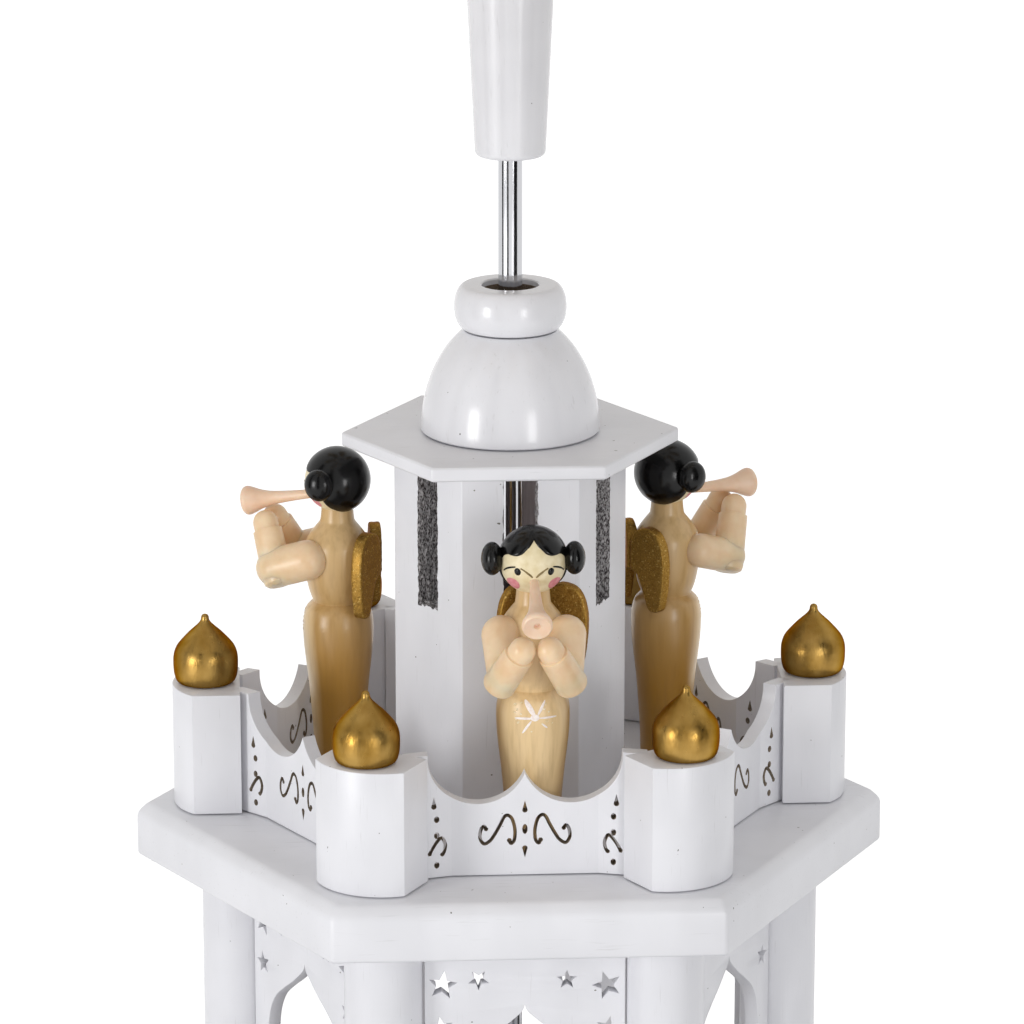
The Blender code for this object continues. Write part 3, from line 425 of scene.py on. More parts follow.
def to_mesh(name, shape, sharp_angle=40):
    """Ends a bmesh: welds it, points its faces out and shades it smooth between sharp edges."""
    bmesh.ops.remove_doubles(shape, verts=shape.verts, dist=0.002 * MM)
    bmesh.ops.recalc_face_normals(shape, faces=shape.faces)
    mesh = bpy.data.meshes.new(name)
    shape.to_mesh(mesh)
    shape.free()
    mesh.shade_smooth()
    mesh.set_sharp_from_angle(angle=radians(sharp_angle))
    return mesh


def join_rows(shape, rows, closed):
    """Faces between each row of vertices and the next; a closed row ends where it starts."""
    for first, second in zip(rows, rows[1:]):
        for i in range(len(first) if closed else len(first) - 1):
            k = (i + 1) % len(first)
            shape.faces.new((first[i], second[i], second[k], first[k]))


# %% Curves through points


def through(points, steps):
    """A smooth line through the points, with so many steps from each to the next."""
    points = [Vector(point) for point in points]
    ends = [2 * points[0] - points[1]] + points + [2 * points[-1] - points[-2]]
    line = []
    for before, start, end, after in zip(ends, ends[1:], ends[2:], ends[3:]):
        for i in range(steps):
            t = i / steps
            line.append((2 * start + (end - before) * t
                         + (2 * before - 5 * start + 4 * end - after) * t ** 2
                         + (3 * start - before - 3 * end + after) * t ** 3) / 2)
    return line + [points[-1]]


def lathe_line(shares, radius, height, steps):
    """A smooth line through points that are given as shares of the height and then of the radius."""
    return through([(across * radius, up * height) for up, across in shares], steps)


def arc(centre, radius, start, end, steps):
    """Points on an arc; angles in degrees, and 0 points along the first axis."""
    return [Vector((centre[0] + radius * cos(radians(start + (end - start) * i / steps)),
                    centre[1] + radius * sin(radians(start + (end - start) * i / steps))))
            for i in range(steps + 1)]


# %% Turned pieces


def turned(name, profile, steps=72, sharp_angle=40):
    """Spins (radius, height) points round the Z axis."""
    shape = bmesh.new()
    verts = [shape.verts.new((radius, 0.0, height)) for radius, height in profile]
    edges = [shape.edges.new(pair) for pair in zip(verts, verts[1:])]
    bmesh.ops.spin(shape, geom=verts + edges, cent=(0, 0, 0), axis=(0, 0, 1), angle=2 * pi, steps=steps)
    return to_mesh(name, shape, sharp_angle)


def polar(radius, angle, height=0.0):
    return Vector((radius * cos(angle), radius * sin(angle), height))


def stand(radius, angle, height):
    """A place on a ring round the axis, turned so that +X points away from the axis."""
    return Matrix.Translation(polar(radius, angle, height)) @ Matrix.Rotation(angle, 4, "Z")


# %% Boards


def board(name, outlines, thickness, ease=0.12):
    """A flat piece in XY with its holes after the outline; ease is the edge radius in millimetres."""
    curve = bpy.data.curves.new(name, "CURVE")
    curve.dimensions = "2D"
    curve.fill_mode = "BOTH"
    curve.bevel_depth = ease * MM
    curve.bevel_resolution = 1
    curve.offset = -ease * MM
    curve.extrude = thickness / 2 - ease * MM
    for number, outline in enumerate(outlines):
        area = sum(a[0] * b[1] - b[0] * a[1] for a, b in zip(outline, [*outline[1:], outline[0]]))
        if (area > 0) == (number > 0):
            outline = outline[::-1]
        spline = curve.splines.new("POLY")
        spline.points.add(len(outline) - 1)
        for point, (x, y) in zip(spline.points, outline):
            point.co = (x, y, 0.0, 1.0)
        spline.use_cyclic_u = True
    guide = add_object(name, curve)
    state = bpy.context.evaluated_depsgraph_get()
    mesh = bpy.data.meshes.new_from_object(guide.evaluated_get(state))
    bpy.data.objects.remove(guide)
    shape = bmesh.new()
    shape.from_mesh(mesh)
    return to_mesh(name, shape)


def eased_solid(node, ease, sharp_angle=30):
    """A copy of a solid from the frame, with its edges rounded by so many millimetres."""
    shape = bmesh.new()
    shape.from_mesh(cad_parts[node].data)
    bmesh.ops.remove_doubles(shape, verts=shape.verts, dist=0.01 * MM)
    bmesh.ops.dissolve_limit(shape, angle_limit=radians(1), verts=shape.verts, edges=shape.edges)
    edges = [edge for edge in shape.edges if edge.calc_face_angle(0.0) > radians(sharp_angle)]
    bmesh.ops.bevel(shape, geom=edges, offset=ease * MM, segments=3, profile=0.5, affect="EDGES",
                    clamp_overlap=True)
    return to_mesh(node, shape)


# %% [markdown]
# Cutting
# Slots, drilled holes and fretsaw cuts are made as in the workshop: a cutter is taken out of the
# solid piece. The Boolean can hand the cutter's own material to the faces that it cuts, so bare
# wood appears exactly where the paint was cut through.

# %% Cutting


def carved(name, mesh, cutters, crossing=False):
    """The mesh with the cutters taken out of it; crossing tells that a cutter runs through itself."""
    block = add_object(name, mesh)
    made = [block]
    for cutter in cutters:
        tool = add_object("cutter", cutter)
        made.append(tool)
        cut = block.modifiers.new("cut", "BOOLEAN")
        cut.operation, cut.object, cut.material_mode = "DIFFERENCE", tool, "TRANSFER"
        cut.solver, cut.use_self = ("EXACT", True) if crossing else ("MANIFOLD", False)
    state = bpy.context.evaluated_depsgraph_get()
    result = bpy.data.meshes.new_from_object(block.evaluated_get(state))
    for item in made:
        bpy.data.objects.remove(item)
    return result


# %% [markdown]
# Limbs
# A limb is a tube whose rings follow a bent path. At a bend the ring is sheared on to the plane
# that halves the angle, as a carpenter's mitre, so the tube keeps its thickness round the corner.

# %% Limbs
# A half ball ends in a small flat face, whose radius is this share of its own
BALL_END_SHARE = 0.04


def limb(shape, stations, steps=28):
    """Adds a closed tube through (place, radius) stations to a bmesh."""
    places = [Vector(place) for place, radius in stations]
    ways = [(b - a).normalized() for a, b in zip(places, places[1:])]
    side = ways[0].orthogonal().normalized()
    rings = []
    for i, (place, radius) in enumerate(zip(places, [radius for place, radius in stations])):
        way, onward = ways[max(i - 1, 0)], ways[min(i, len(ways) - 1)]
        side = (side - way * side.dot(way)).normalized()
        other = way.cross(side)
        half = (way + onward).normalized()
        ring = []
        for k in range(steps):
            point = (side * cos(2 * pi * k / steps) + other * sin(2 * pi * k / steps)) * radius
            point -= way * point.dot(half) / way.dot(half)
            ring.append(shape.verts.new(place + point))
        rings.append(ring)
    join_rows(shape, rings, True)
    shape.faces.new(rings[0])
    shape.faces.new(rings[-1][::-1])


def round_end(place, way, radius, steps=6):
    """Stations of a half ball that closes a limb at a place, seen along its way."""
    ends = [(Vector(place) + Vector(way) * radius * sin(pi / 2 * i / steps), radius * cos(pi / 2 * i / steps))
            for i in range(steps + 1)]
    ends[-1] = (ends[-1][0], radius * BALL_END_SHARE)
    return ends


# %% [markdown]
# Base plate, pivot and candle cups
# The lowest board carries everything. The rod's point turns in a small steel cup in its middle. The
# candle cups are turned like egg cups, with a bore that takes a slim candle.

# %% Base
painted("base_plate", eased_solid("base_plate", 0.5), deck_paint)
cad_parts["pivot_cup"].material_slots[0].material = pressed_steel

CUP_BORE = 7.1 * MM
CUP_BORE_DEPTH = 9 * MM
CUP_EASE = 0.3 * MM
CUP_LIP = 1.1 * MM
cup_radius, cup_height, cup_foot, cup_ring = round_size("candle_cup_1")
# The side from the rim to the foot: shares of the height, then of the widest radius
CUP_SHARES = ((0.97, 0.90), (0.88, 0.93), (0.74, 0.92), (0.56, 0.82), (0.38, 0.68), (0.28, 0.67),
              (0.21, 0.78), (0.14, 0.97), (0.03, 1.0))
cup_side = lathe_line(CUP_SHARES, cup_radius, cup_height, 4)
cup_floor = cup_height - CUP_BORE_DEPTH
cup_profile = [(0.0, cup_floor), (CUP_BORE, cup_floor), (CUP_BORE, cup_height - CUP_EASE),
               (CUP_BORE + CUP_EASE, cup_height), (CUP_BORE + CUP_LIP, cup_height),
               *cup_side, (cup_radius - CUP_EASE, 0.0), (0.0, 0.0)]
cup_mesh = turned("candle_cup", cup_profile)
for index in range(SIDES):
    place = Matrix.Translation(polar(cup_ring, index * pi / 3, cup_foot))
    painted(f"candle_cup_{index + 1}", cup_mesh, lathe_paint, place)
print("base pieces:", len(shown))

# %% [markdown]
# Columns and arches
# The columns are dowels. Between them stand boards with an ogee arch, a pointed arch whose sides
# bend twice. A smooth line through a few points draws it. Above the arch, stars are cut out, each a
# little askew, as on the real boards.

# %% Columns
COLUMN_EASE = 0.2 * MM
column_radius, column_height, column_foot, column_ring = round_size("column_1")
column_profile = [(0.0, column_height), (column_radius - COLUMN_EASE, column_height),
                  (column_radius, column_height - COLUMN_EASE), (column_radius, COLUMN_EASE),
                  (column_radius - COLUMN_EASE, 0.0), (0.0, 0.0)]
column_mesh = turned("column", column_profile)
for index in range(SIDES):
    painted(f"column_{index + 1}", column_mesh, board_paint,
            stand(column_ring, index * pi / 3, column_foot))
print("columns:", SIDES, "of", round(column_radius * 2000, 1), "mm")

# %% Arch panels
ARCH_HALF_WIDTH = 15.2 * MM
ARCH_TOP_DROP = 15.7 * MM
ARCH_CROWN_HEIGHT = 19.5 * MM
STAR_RADIUS = 3.1 * MM
STAR_INNER_SHARE = 0.42
OGEE_SHARES = ((0.0, 0.0), (0.05, 0.085), (0.30, 0.255), (0.56, 0.40), (0.80, 0.56), (0.94, 0.76), (1.0, 1.0))
# Each star: shares of the panel's half width and of its height from the top, its size and its turn
STAR_SHARES = ((-0.82, 0.107, 1.0, -8), (-0.46, 0.097, 0.72, 36), (0.42, 0.100, 0.68, 0),
               (0.82, 0.113, 1.0, 17), (-0.83, 0.196, 0.8, 10), (0.83, 0.202, 0.8, -12))
low, high, middle = size_of("arch_panel_5")
panel_half, panel_height, ply = (high.x - low.x) / 2, high.z - low.z, high.y - low.y
panel_ring = -middle.y


def mirrored(points):
    return [(-point[0], point[1]) for point in points][::-1]


def star(x, y, radius, turn):
    corners = [(radius if i % 2 == 0 else radius * STAR_INNER_SHARE, radians(90 + turn + i * 36))
               for i in range(10)]
    return [(x + reach * cos(angle), y + reach * sin(angle)) for reach, angle in corners]


arch_top = panel_height - ARCH_TOP_DROP
ogee = through([(x * ARCH_HALF_WIDTH, arch_top - y * ARCH_CROWN_HEIGHT) for x, y in OGEE_SHARES], 6)
arch_right = [*ogee, (ARCH_HALF_WIDTH, 0.0)]
side_right = [(panel_half, 0.0), (panel_half, panel_height)]
arch_outline = side_right + mirrored(side_right) + mirrored(arch_right[1:]) + arch_right
stars = [star(x * panel_half, panel_height * (1 - y), size * STAR_RADIUS, turn)
         for x, y, size, turn in STAR_SHARES]
arch_mesh = board("arch_panel", [arch_outline, *stars], ply)


def facing_out(radius, index, height):
    """The place of an upright board on one side of the hexagon."""
    return stand(radius, HALF_SIDE + index * pi / 3, height) @ Matrix.Rotation(pi / 2, 4, "Z")


upright = Matrix.Rotation(pi / 2, 4, "X")
arch_mesh.transform(upright)
for index in range(SIDES):
    painted(f"arch_panel_{index + 1}", arch_mesh, board_paint, facing_out(panel_ring, index, low.z))
print("arch panels:", SIDES, "with", len(stars), "stars each")

# %% [markdown]
# Gallery platform, roof and posts
# These are thick boards with sanded edges. Their solids are right already, so a copy of each gets
# finer rounding, because a sharp edge in a render looks like paper. The posts have a bowed nose.

# %% Platform and roof
for node, ease in (("gallery_platform", 0.35), ("roof_plate", 0.12)):
    painted(node, eased_solid(node, ease), deck_paint)

# %% Posts
POST_NOSE = 4.2 * MM
low, high, middle = size_of("fence_post_1")
post_ring, post_length, post_width, post_height = middle.x, high.x - low.x, high.y - low.y, high.z - low.z
half = post_width / 2
bow = (half ** 2 + POST_NOSE ** 2) / (2 * POST_NOSE)
reach = asin(half / bow) * 180 / pi
nose = arc((post_length / 2 - bow, 0.0), bow, -reach, reach, 24)
post_outline = [(-post_length / 2, half), (-post_length / 2, -half), *nose]
post_mesh = board("fence_post", [post_outline], post_height, 0.25)
post_mesh.transform(Matrix.Translation((0, 0, post_height / 2)))
for index in range(SIDES):
    painted(f"fence_post_{index + 1}", post_mesh, board_paint, stand(post_ring, index * pi / 3, low.z))
print("posts:", SIDES)

# %% [markdown]
# Onions
# The small domes on the posts are turned: a bulb that draws in to a short nub, with the mark of the
# lathe's centre in its tip. The line through a few shares of height and radius gives the double
# bend of the real ones.

# %% Onion finials
ONION_SHARES = ((0.99, 0.085), (0.965, 0.115), (0.93, 0.125), (0.895, 0.155), (0.85, 0.235), (0.793, 0.365),
                (0.73, 0.51), (0.66, 0.65), (0.60, 0.765), (0.53, 0.88), (0.46, 0.95), (0.38, 0.99),
                (0.30, 1.0), (0.20, 0.995), (0.12, 0.975), (0.05, 0.935), (0.015, 0.89), (0.0, 0.85))
onion_radius, onion_height, onion_foot = round_size("onion_finial_1")[:3]
onion_side = lathe_line(ONION_SHARES, onion_radius, onion_height, 6)
TIP_SHARES = ((0.97, 0.0), (0.975, 0.025), (1.0, 0.045))
onion_tip = [(share * onion_radius, height * onion_height) for height, share in TIP_SHARES]
onion_mesh = turned("onion_finial", [*onion_tip, *onion_side, (0.0, 0.0)], 72, 60)
for index in range(SIDES):
    node = f"onion_finial_{index + 1}"
    place = stand(post_ring, index * pi / 3, onion_foot)
    add_piece(node + "_gilded", onion_mesh, gilt, "root", [node], place)
print("onions:", SIDES, "of", round(onion_radius * 2000, 1), "mm")

# %% [markdown]
# Fences
# A fence is a board 3 mm thick whose top edge waves between the posts, and whose ends turn outwards.
# A fretsaw has cut S-scrolls, drops and beads through it. Each scroll is a line of varying width,
# with a round ball at its inner end, and it is drawn as a closed outline, a hole in the board.

# %% Outlines of the fence
FENCE_BEND = 14.8 * MM
FENCE_FLARE = radians(15)
DIP_RADIUS = 10.2 * MM
DIP_HEIGHT = 15.2 * MM
PEAK_HEIGHT = 21.6 * MM
SCROLL_HALF_WIDTH = 9.2 * MM
SCROLL_LOW = 6.7 * MM
SCROLL_HIGH = 12.7 * MM
CUT_WIDTH = 0.72 * MM
INNER_BALL = 0.50 * MM
OUTER_BALL = 0.45 * MM
# The right scroll from the ball beside the bead to its outer hook: shares of half width and height
SCROLL_SHARES = ((0.36, 0.19), (0.31, 0.0), (0.235, 0.12), (0.22, 0.48), (0.28, 0.86), (0.38, 1.0),
                 (0.46, 0.93), (0.54, 0.68), (0.66, 0.34), (0.77, 0.10), (0.90, 0.0), (0.985, 0.20),
                 (0.97, 0.48), (0.90, 0.62), (0.83, 0.45))
HOOK_SHARES = ((1.0, 0.05), (0.75, 0.48), (0.45, 0.86), (0.20, 1.0), (0.0, 0.62), (0.08, 0.2), (0.28, 0.0))
HOOK_OFFSET = 1.3 * MM
HOOK_LOW = 4.5 * MM
HOOK_WIDTH = 3.4 * MM
HOOK_HEIGHT = 3.8 * MM
DROP_LENGTH = 2.6 * MM
DROP_WIDTH = 1.1 * MM
DROP_REACH = 6.1 * MM
BEAD_HEIGHT = 2.1 * MM
WING_BEAD_HEIGHT = 1.4 * MM
WING_DROP_OFFSET = 3.6 * MM
WING_DROP_TIP = 17.1 * MM
WING_BEADS = (2.6 * MM, 8.9 * MM, 12.3 * MM)


def drop(x, tip, way):
    """A pointed drop with a round base; way is 1 if its point is up."""
    base = tip - way * (DROP_LENGTH - DROP_WIDTH / 2)
    return [(x, tip), *arc((x, base), DROP_WIDTH / 2, 0, -180 * way, 10)]


def oval(x, y, width, height):
    return [(x + width / 2 * cos(2 * pi * i / 20), y + height / 2 * sin(2 * pi * i / 20)) for i in range(20)]


def saw_line(points, balls):
    """Both edges of a saw line, which ends in balls with these radii."""
    line = through(points, 8)
    reach = [0.0]
    for a, b in zip(line, line[1:]):
        reach.append(reach[-1] + (b - a).length)
    edges = []
    for i, place in enumerate(line):
        way = (line[min(i + 1, len(line) - 1)] - line[max(i - 1, 0)]).normalized()
        half = CUT_WIDTH / 2
        for distance, ball in ((reach[i], balls[0]), (reach[-1] - reach[i], balls[1])):
            if distance < 2 * ball:
                swell = sqrt(max(0.0, ball ** 2 - (distance - ball) ** 2))
                half = max(half, swell) if distance > ball else max(swell, 0.02 * MM)
        across = Vector((-way.y, way.x)) * half
        edges.append((place + across, place - across))
    return edges


rise = SCROLL_HIGH - SCROLL_LOW
scroll_middle = (SCROLL_LOW + SCROLL_HIGH) / 2
scroll = saw_line([(x * SCROLL_HALF_WIDTH, SCROLL_LOW + y * rise) for x, y in SCROLL_SHARES],
                  (INNER_BALL, OUTER_BALL))
hook = saw_line([(FENCE_BEND + HOOK_OFFSET + x * HOOK_WIDTH, HOOK_LOW + y * HOOK_HEIGHT)
                 for x, y in HOOK_SHARES], (OUTER_BALL, OUTER_BALL))
wing_x = FENCE_BEND + WING_DROP_OFFSET
wing_holes = [drop(wing_x, WING_DROP_TIP, 1)]
wing_holes += [oval(wing_x - DROP_WIDTH / 2, height, DROP_WIDTH, WING_BEAD_HEIGHT) for height in WING_BEADS]
holes = [oval(0.0, scroll_middle, DROP_WIDTH, BEAD_HEIGHT), drop(0.0, scroll_middle + DROP_REACH, 1),
         drop(0.0, scroll_middle - DROP_REACH, -1), *wing_holes, *[mirrored(hole) for hole in wing_holes]]
print("cut-outs in each fence:", len(holes) + 4)

# %% [markdown]
# Sawing the fence
# The cutter is flat first: every hole is a face, and every saw line a strip of faces. Then all of
# it is given a thickness at once, a little more than the board's.

# %% Fence panels
low, high, middle = size_of("fence_panel_5")
fence_face, fence_height = -low.y, high.z - low.z
flare_slope = tan(FENCE_FLARE)
fence_end = high.x
dip_x = sqrt(DIP_RADIUS ** 2 - (DIP_RADIUS + DIP_HEIGHT - PEAK_HEIGHT) ** 2)
dip_y = DIP_HEIGHT + DIP_RADIUS
inner_angle = -90 - asin(dip_x / DIP_RADIUS) * 180 / pi
outer_angle = 0.0 if dip_y <= fence_height else -90 + acos((dip_y - fence_height) / DIP_RADIUS) * 180 / pi
top_right = arc((dip_x, dip_y), DIP_RADIUS, inner_angle, outer_angle, 28)
top_right[-1] = (top_right[-1][0], fence_height)
top_right.append((fence_end, fence_height))
fence_outline = [(-fence_end, 0.0), *mirrored(top_right[1:]), *top_right, (fence_end, 0.0)]
shape = bmesh.new()
for hole in holes:
    shape.faces.new([shape.verts.new((x, y, -ply)) for x, y in hole])
for edges in (scroll, hook):
    for side in (1, -1):
        pairs = [[shape.verts.new((side * point.x, point.y, -ply)) for point in pair] for pair in edges]
        join_rows(shape, pairs, False)
thick = bmesh.ops.extrude_face_region(shape, geom=shape.faces[:])
raised = [item for item in thick["geom"] if isinstance(item, bmesh.types.BMVert)]
bmesh.ops.translate(shape, vec=(0, 0, 2 * ply), verts=raised)
fence_cutter = to_mesh("fence_cutter", shape)
fence_cutter.materials.append(sawn_wood)
fence_board = board("fence_panel", [fence_outline], ply, 0.10)
fence_board.materials.append(board_paint)
fence_board.materials.append(sawn_wood)
fence_mesh = carved("fence_panel", fence_board, [fence_cutter], crossing=True)
fence_mesh.transform(upright)
shape = bmesh.new()
shape.from_mesh(fence_mesh)
for way in (1, -1):
    everything = shape.verts[:] + shape.edges[:] + shape.faces[:]
    bmesh.ops.bisect_plane(shape, geom=everything, dist=0.002 * MM, plane_co=(way * FENCE_BEND, 0, 0),
                           plane_no=(way, 0, 0))
for vertex in shape.verts:
    vertex.co.y -= max(0.0, abs(vertex.co.x) - FENCE_BEND) * flare_slope
finishes = list(fence_mesh.materials)
fence_mesh = to_mesh("fence_panel", shape, 12)
for finish in finishes:
    fence_mesh.materials.append(finish)
for index in range(SIDES):
    painted(f"fence_panel_{index + 1}", fence_mesh, board_paint,
            facing_out(fence_face - ply / 2, index, low.z))
print("fences:", SIDES, "faces in each:", len(fence_mesh.polygons))

# %% [markdown]
# Tower
# The tower is a six-sided tube of thick boards. Its slots were chiselled after painting, so their
# sides are torn: the fibres stand up in ridges along the grain. A cutter with rough sides makes
# them. Its grid of points is pushed in and out by noise that is long along Z, and the cut takes the
# cutter's own material, which is how the bare wood gets on to exactly the faces that were cut.

# %% Cutters for the slots
TOWER_TURN = radians(2.5)
TOWER_WALL = 5 * MM
SLOT_WIDTH = 7.6 * MM
SLOT_SILL = 44.6 * MM
OVERRUN = 2 * MM
# How far fibres, chips and teeth stand out, what is taken off each side and added to the foot
FIBRE_DEPTH, CHIP_DEPTH, TOOTH_DEPTH = 0.26, 0.30, 0.9
SIDE_OFFSET, TOOTH_OFFSET = 0.20, 0.3
# The cutter's grid: rows along the slot, columns through the wall, and teeth across its foot
SLOT_GRID = (70, 26, 12)
# Room between the ragged foot and the first rows above it, so that the cutter doesn't cross itself
FOOT_ROOM = 2 * MM
FOOT_WIDTH_SHARE = 0.75
low, high, middle = size_of("tower")
tower_height = high.z - low.z
tower_radius = (high.x - low.x) / 2 / cos(TOWER_TURN)
wall_middle = tower_radius * cos(HALF_SIDE) - TOWER_WALL / 2


def rough_slot(index):
    """A box that cuts one slot, with torn sides and a ragged foot."""
    depth, height = TOWER_WALL + 2 * OVERRUN, tower_height - SLOT_SILL + OVERRUN
    shape = bmesh.new()
    bmesh.ops.create_cube(shape, size=1.0)
    for axis, top, cuts in zip("zxy", (1, 1, -0.49), SLOT_GRID):
        edges = [e for e in shape.edges
                 if abs(getattr(e.verts[0].co, axis) - getattr(e.verts[1].co, axis)) > 0.5
                 and max(e.verts[0].co.z, e.verts[1].co.z) < top]
        bmesh.ops.subdivide_edges(shape, edges=edges, cuts=cuts, use_grid_fill=True)
    bmesh.ops.scale(shape, vec=(depth, SLOT_WIDTH, height), verts=shape.verts)
    for vertex in shape.verts:
        x, y, z = vertex.co
        seed = index * 17.0
        fibre = noise.noise((x / (0.7 * MM), z / (2.4 * MM), seed + (5 if y > 0 else 0)))
        chip = noise.noise((x / (0.8 * MM), z / (0.9 * MM), seed + (9 if y > 0 else 3)))
        if abs(y) > SLOT_WIDTH * 0.49:
            vertex.co.y -= (FIBRE_DEPTH * fibre + CHIP_DEPTH * chip + SIDE_OFFSET) * MM * (1 if y > 0 else -1)
        else:
            vertex.co.y *= FOOT_WIDTH_SHARE
        if z < -height * 0.49:
            tooth = noise.noise((x / (1.1 * MM), y / (1.3 * MM), seed))
            vertex.co.z += (TOOTH_DEPTH * tooth + TOOTH_OFFSET) * MM
        else:
            vertex.co.z += (0.5 - z / height) * FOOT_ROOM
    bmesh.ops.translate(shape, vec=(wall_middle, 0.0, SLOT_SILL + height / 2), verts=shape.verts)
    turn = Matrix.Rotation(TOWER_TURN + HALF_SIDE + index * pi / 3, 4, "Z")
    bmesh.ops.transform(shape, matrix=Matrix.Translation((0, 0, low.z)) @ turn, verts=shape.verts)
    mesh = to_mesh("slot_cutter", shape, 60)
    mesh.materials.append(torn_wood)
    return mesh


def prism(radius, height, foot, turn):
    """An upright six-sided prism about the axis."""
    shape = bmesh.new()
    bmesh.ops.create_cone(shape, cap_ends=True, segments=SIDES, radius1=radius, radius2=radius, depth=height)
    first = min(shape.verts, key=lambda v: abs(atan2(v.co.y, v.co.x)))
    spin = turn - atan2(first.co.y, first.co.x)
    bmesh.ops.transform(shape, verts=shape.verts, matrix=Matrix.Translation((0, 0, foot + height / 2))
                        @ Matrix.Rotation(spin, 4, "Z"))
    return shape


# %% Tower with its slots
shape = prism(tower_radius, tower_height, low.z, TOWER_TURN)
corner_edges = [e for e in shape.edges if abs(e.verts[0].co.z - e.verts[1].co.z) > tower_height / 2]
bmesh.ops.bevel(shape, geom=corner_edges, offset=0.25 * MM, segments=3, profile=0.5, affect="EDGES")
tower_block = to_mesh("tower", shape, 20)
for finish in (board_paint, inner_wood, torn_wood):
    tower_block.materials.append(finish)
room_radius = tower_radius - TOWER_WALL / cos(HALF_SIDE)
room = to_mesh("tower_room", prism(room_radius, tower_height + 2 * OVERRUN, low.z - OVERRUN, TOWER_TURN))
room.materials.append(inner_wood)
tower_mesh = carved("tower", tower_block, [room, *[rough_slot(index) for index in range(SIDES)]])
for face in tower_mesh.polygons:
    face.use_smooth = tower_mesh.materials[face.material_index] == torn_wood
painted("tower", tower_mesh, board_paint)
print("tower faces:", len(tower_mesh.polygons), "finishes:", [m.name for m in tower_mesh.materials])

# %% [markdown]
# Dome, ring, rod and hub
# All four were made on a lathe. The dome is half an egg, an ellipse cut off at its neck. The ring
# has a recess where the paint stops and the bare wood shows, with a small steel washer on the rod.

# %% Dome
DOME_NECK_RADIUS = 9.7 * MM
SHAFT_HOLE_RADIUS = 4 * MM
DOME_EASE = 0.3 * MM
NECK_EASE = 0.2 * MM
dome_radius, dome_height, dome_foot = round_size("dome")[:3]
egg_height = dome_height / sqrt(1 - (DOME_NECK_RADIUS / dome_radius) ** 2)
egg_end = asin(dome_height / egg_height)
dome_side = [(dome_radius * cos(egg_end * (1 - i / 40)), egg_height * sin(egg_end * (1 - i / 40)))
             for i in range(40)]
dome_profile = [(SHAFT_HOLE_RADIUS, dome_height), (DOME_NECK_RADIUS - NECK_EASE, dome_height), *dome_side,
                (dome_radius, DOME_EASE), (dome_radius - DOME_EASE, 0.0), (SHAFT_HOLE_RADIUS, 0.0),
                (SHAFT_HOLE_RADIUS, dome_height)]
painted("dome", turned("dome", dome_profile, 128), lathe_paint, Matrix.Translation((0, 0, dome_foot)))

# %% Collar ring
RING_FLAT_RADIUS = 9.4 * MM
RING_RECESS_RADIUS = 5.9 * MM
RING_RECESS_DEPTH = 4.5 * MM
RING_EASE = 0.25 * MM
WASHER_RADIUS = 4.3 * MM
WASHER_THICKNESS = 0.8 * MM
WASHER_EASE = 0.2 * MM
WASHER_GAP = 0.15 * MM
ROD_GAP = 0.3 * MM
RECESS_PAINT_DEPTH = 1.2 * MM
rod_radius, rod_length, rod_foot = round_size("spindle_rod")[:3]
bore_radius, washer_bore = rod_radius + ROD_GAP, rod_radius + WASHER_GAP
ring_radius, ring_height, ring_foot = round_size("collar_ring")[:3]
bulge = ring_radius - RING_FLAT_RADIUS
ring_side = [(RING_FLAT_RADIUS + bulge * sin(pi * i / 32), ring_height / 2 * (1 + cos(pi * i / 32)))
             for i in range(33)]
paint_end = (RING_RECESS_RADIUS, ring_height - RECESS_PAINT_DEPTH)
ring_profile = [paint_end, (RING_RECESS_RADIUS, ring_height - RING_EASE),
                (RING_RECESS_RADIUS + RING_EASE, ring_height), *ring_side, (bore_radius, 0.0)]
ring_place = Matrix.Translation((0, 0, ring_foot))
painted("collar_ring", turned("collar_ring", ring_profile, 128), lathe_paint, ring_place)
recess_floor = ring_height - RING_RECESS_DEPTH
recess_profile = [paint_end, (RING_RECESS_RADIUS, recess_floor), (bore_radius, recess_floor),
                  (bore_radius, 0.0)]
add_piece("collar_ring_recess", turned("collar_ring_recess", recess_profile, 96), turned_dark_wood,
          place=ring_place)
washer_profile = [(washer_bore, WASHER_THICKNESS), (WASHER_RADIUS - WASHER_EASE, WASHER_THICKNESS),
                  (WASHER_RADIUS, WASHER_THICKNESS - WASHER_EASE), (WASHER_RADIUS, 0.0),
                  (washer_bore, 0.0), (washer_bore, WASHER_THICKNESS)]
add_piece("guide_washer", turned("guide_washer", washer_profile, 64), pressed_steel,
          place=Matrix.Translation((0, 0, ring_foot + recess_floor)))

# %% Rod and hub
ROD_POINT = 3.5 * MM
# Where the point's round tip begins: radius and height
ROD_TIP = (0.5 * MM, 0.35 * MM)
rod_profile = [(0.0, rod_length), (rod_radius, rod_length), (rod_radius, ROD_POINT), ROD_TIP, (0.0, 0.0)]
add_piece("spindle_rod_steel", turned("spindle_rod", rod_profile, 64), steel, "spindle",
          ["spindle_rod"], Matrix.Translation((0, 0, rod_foot)))

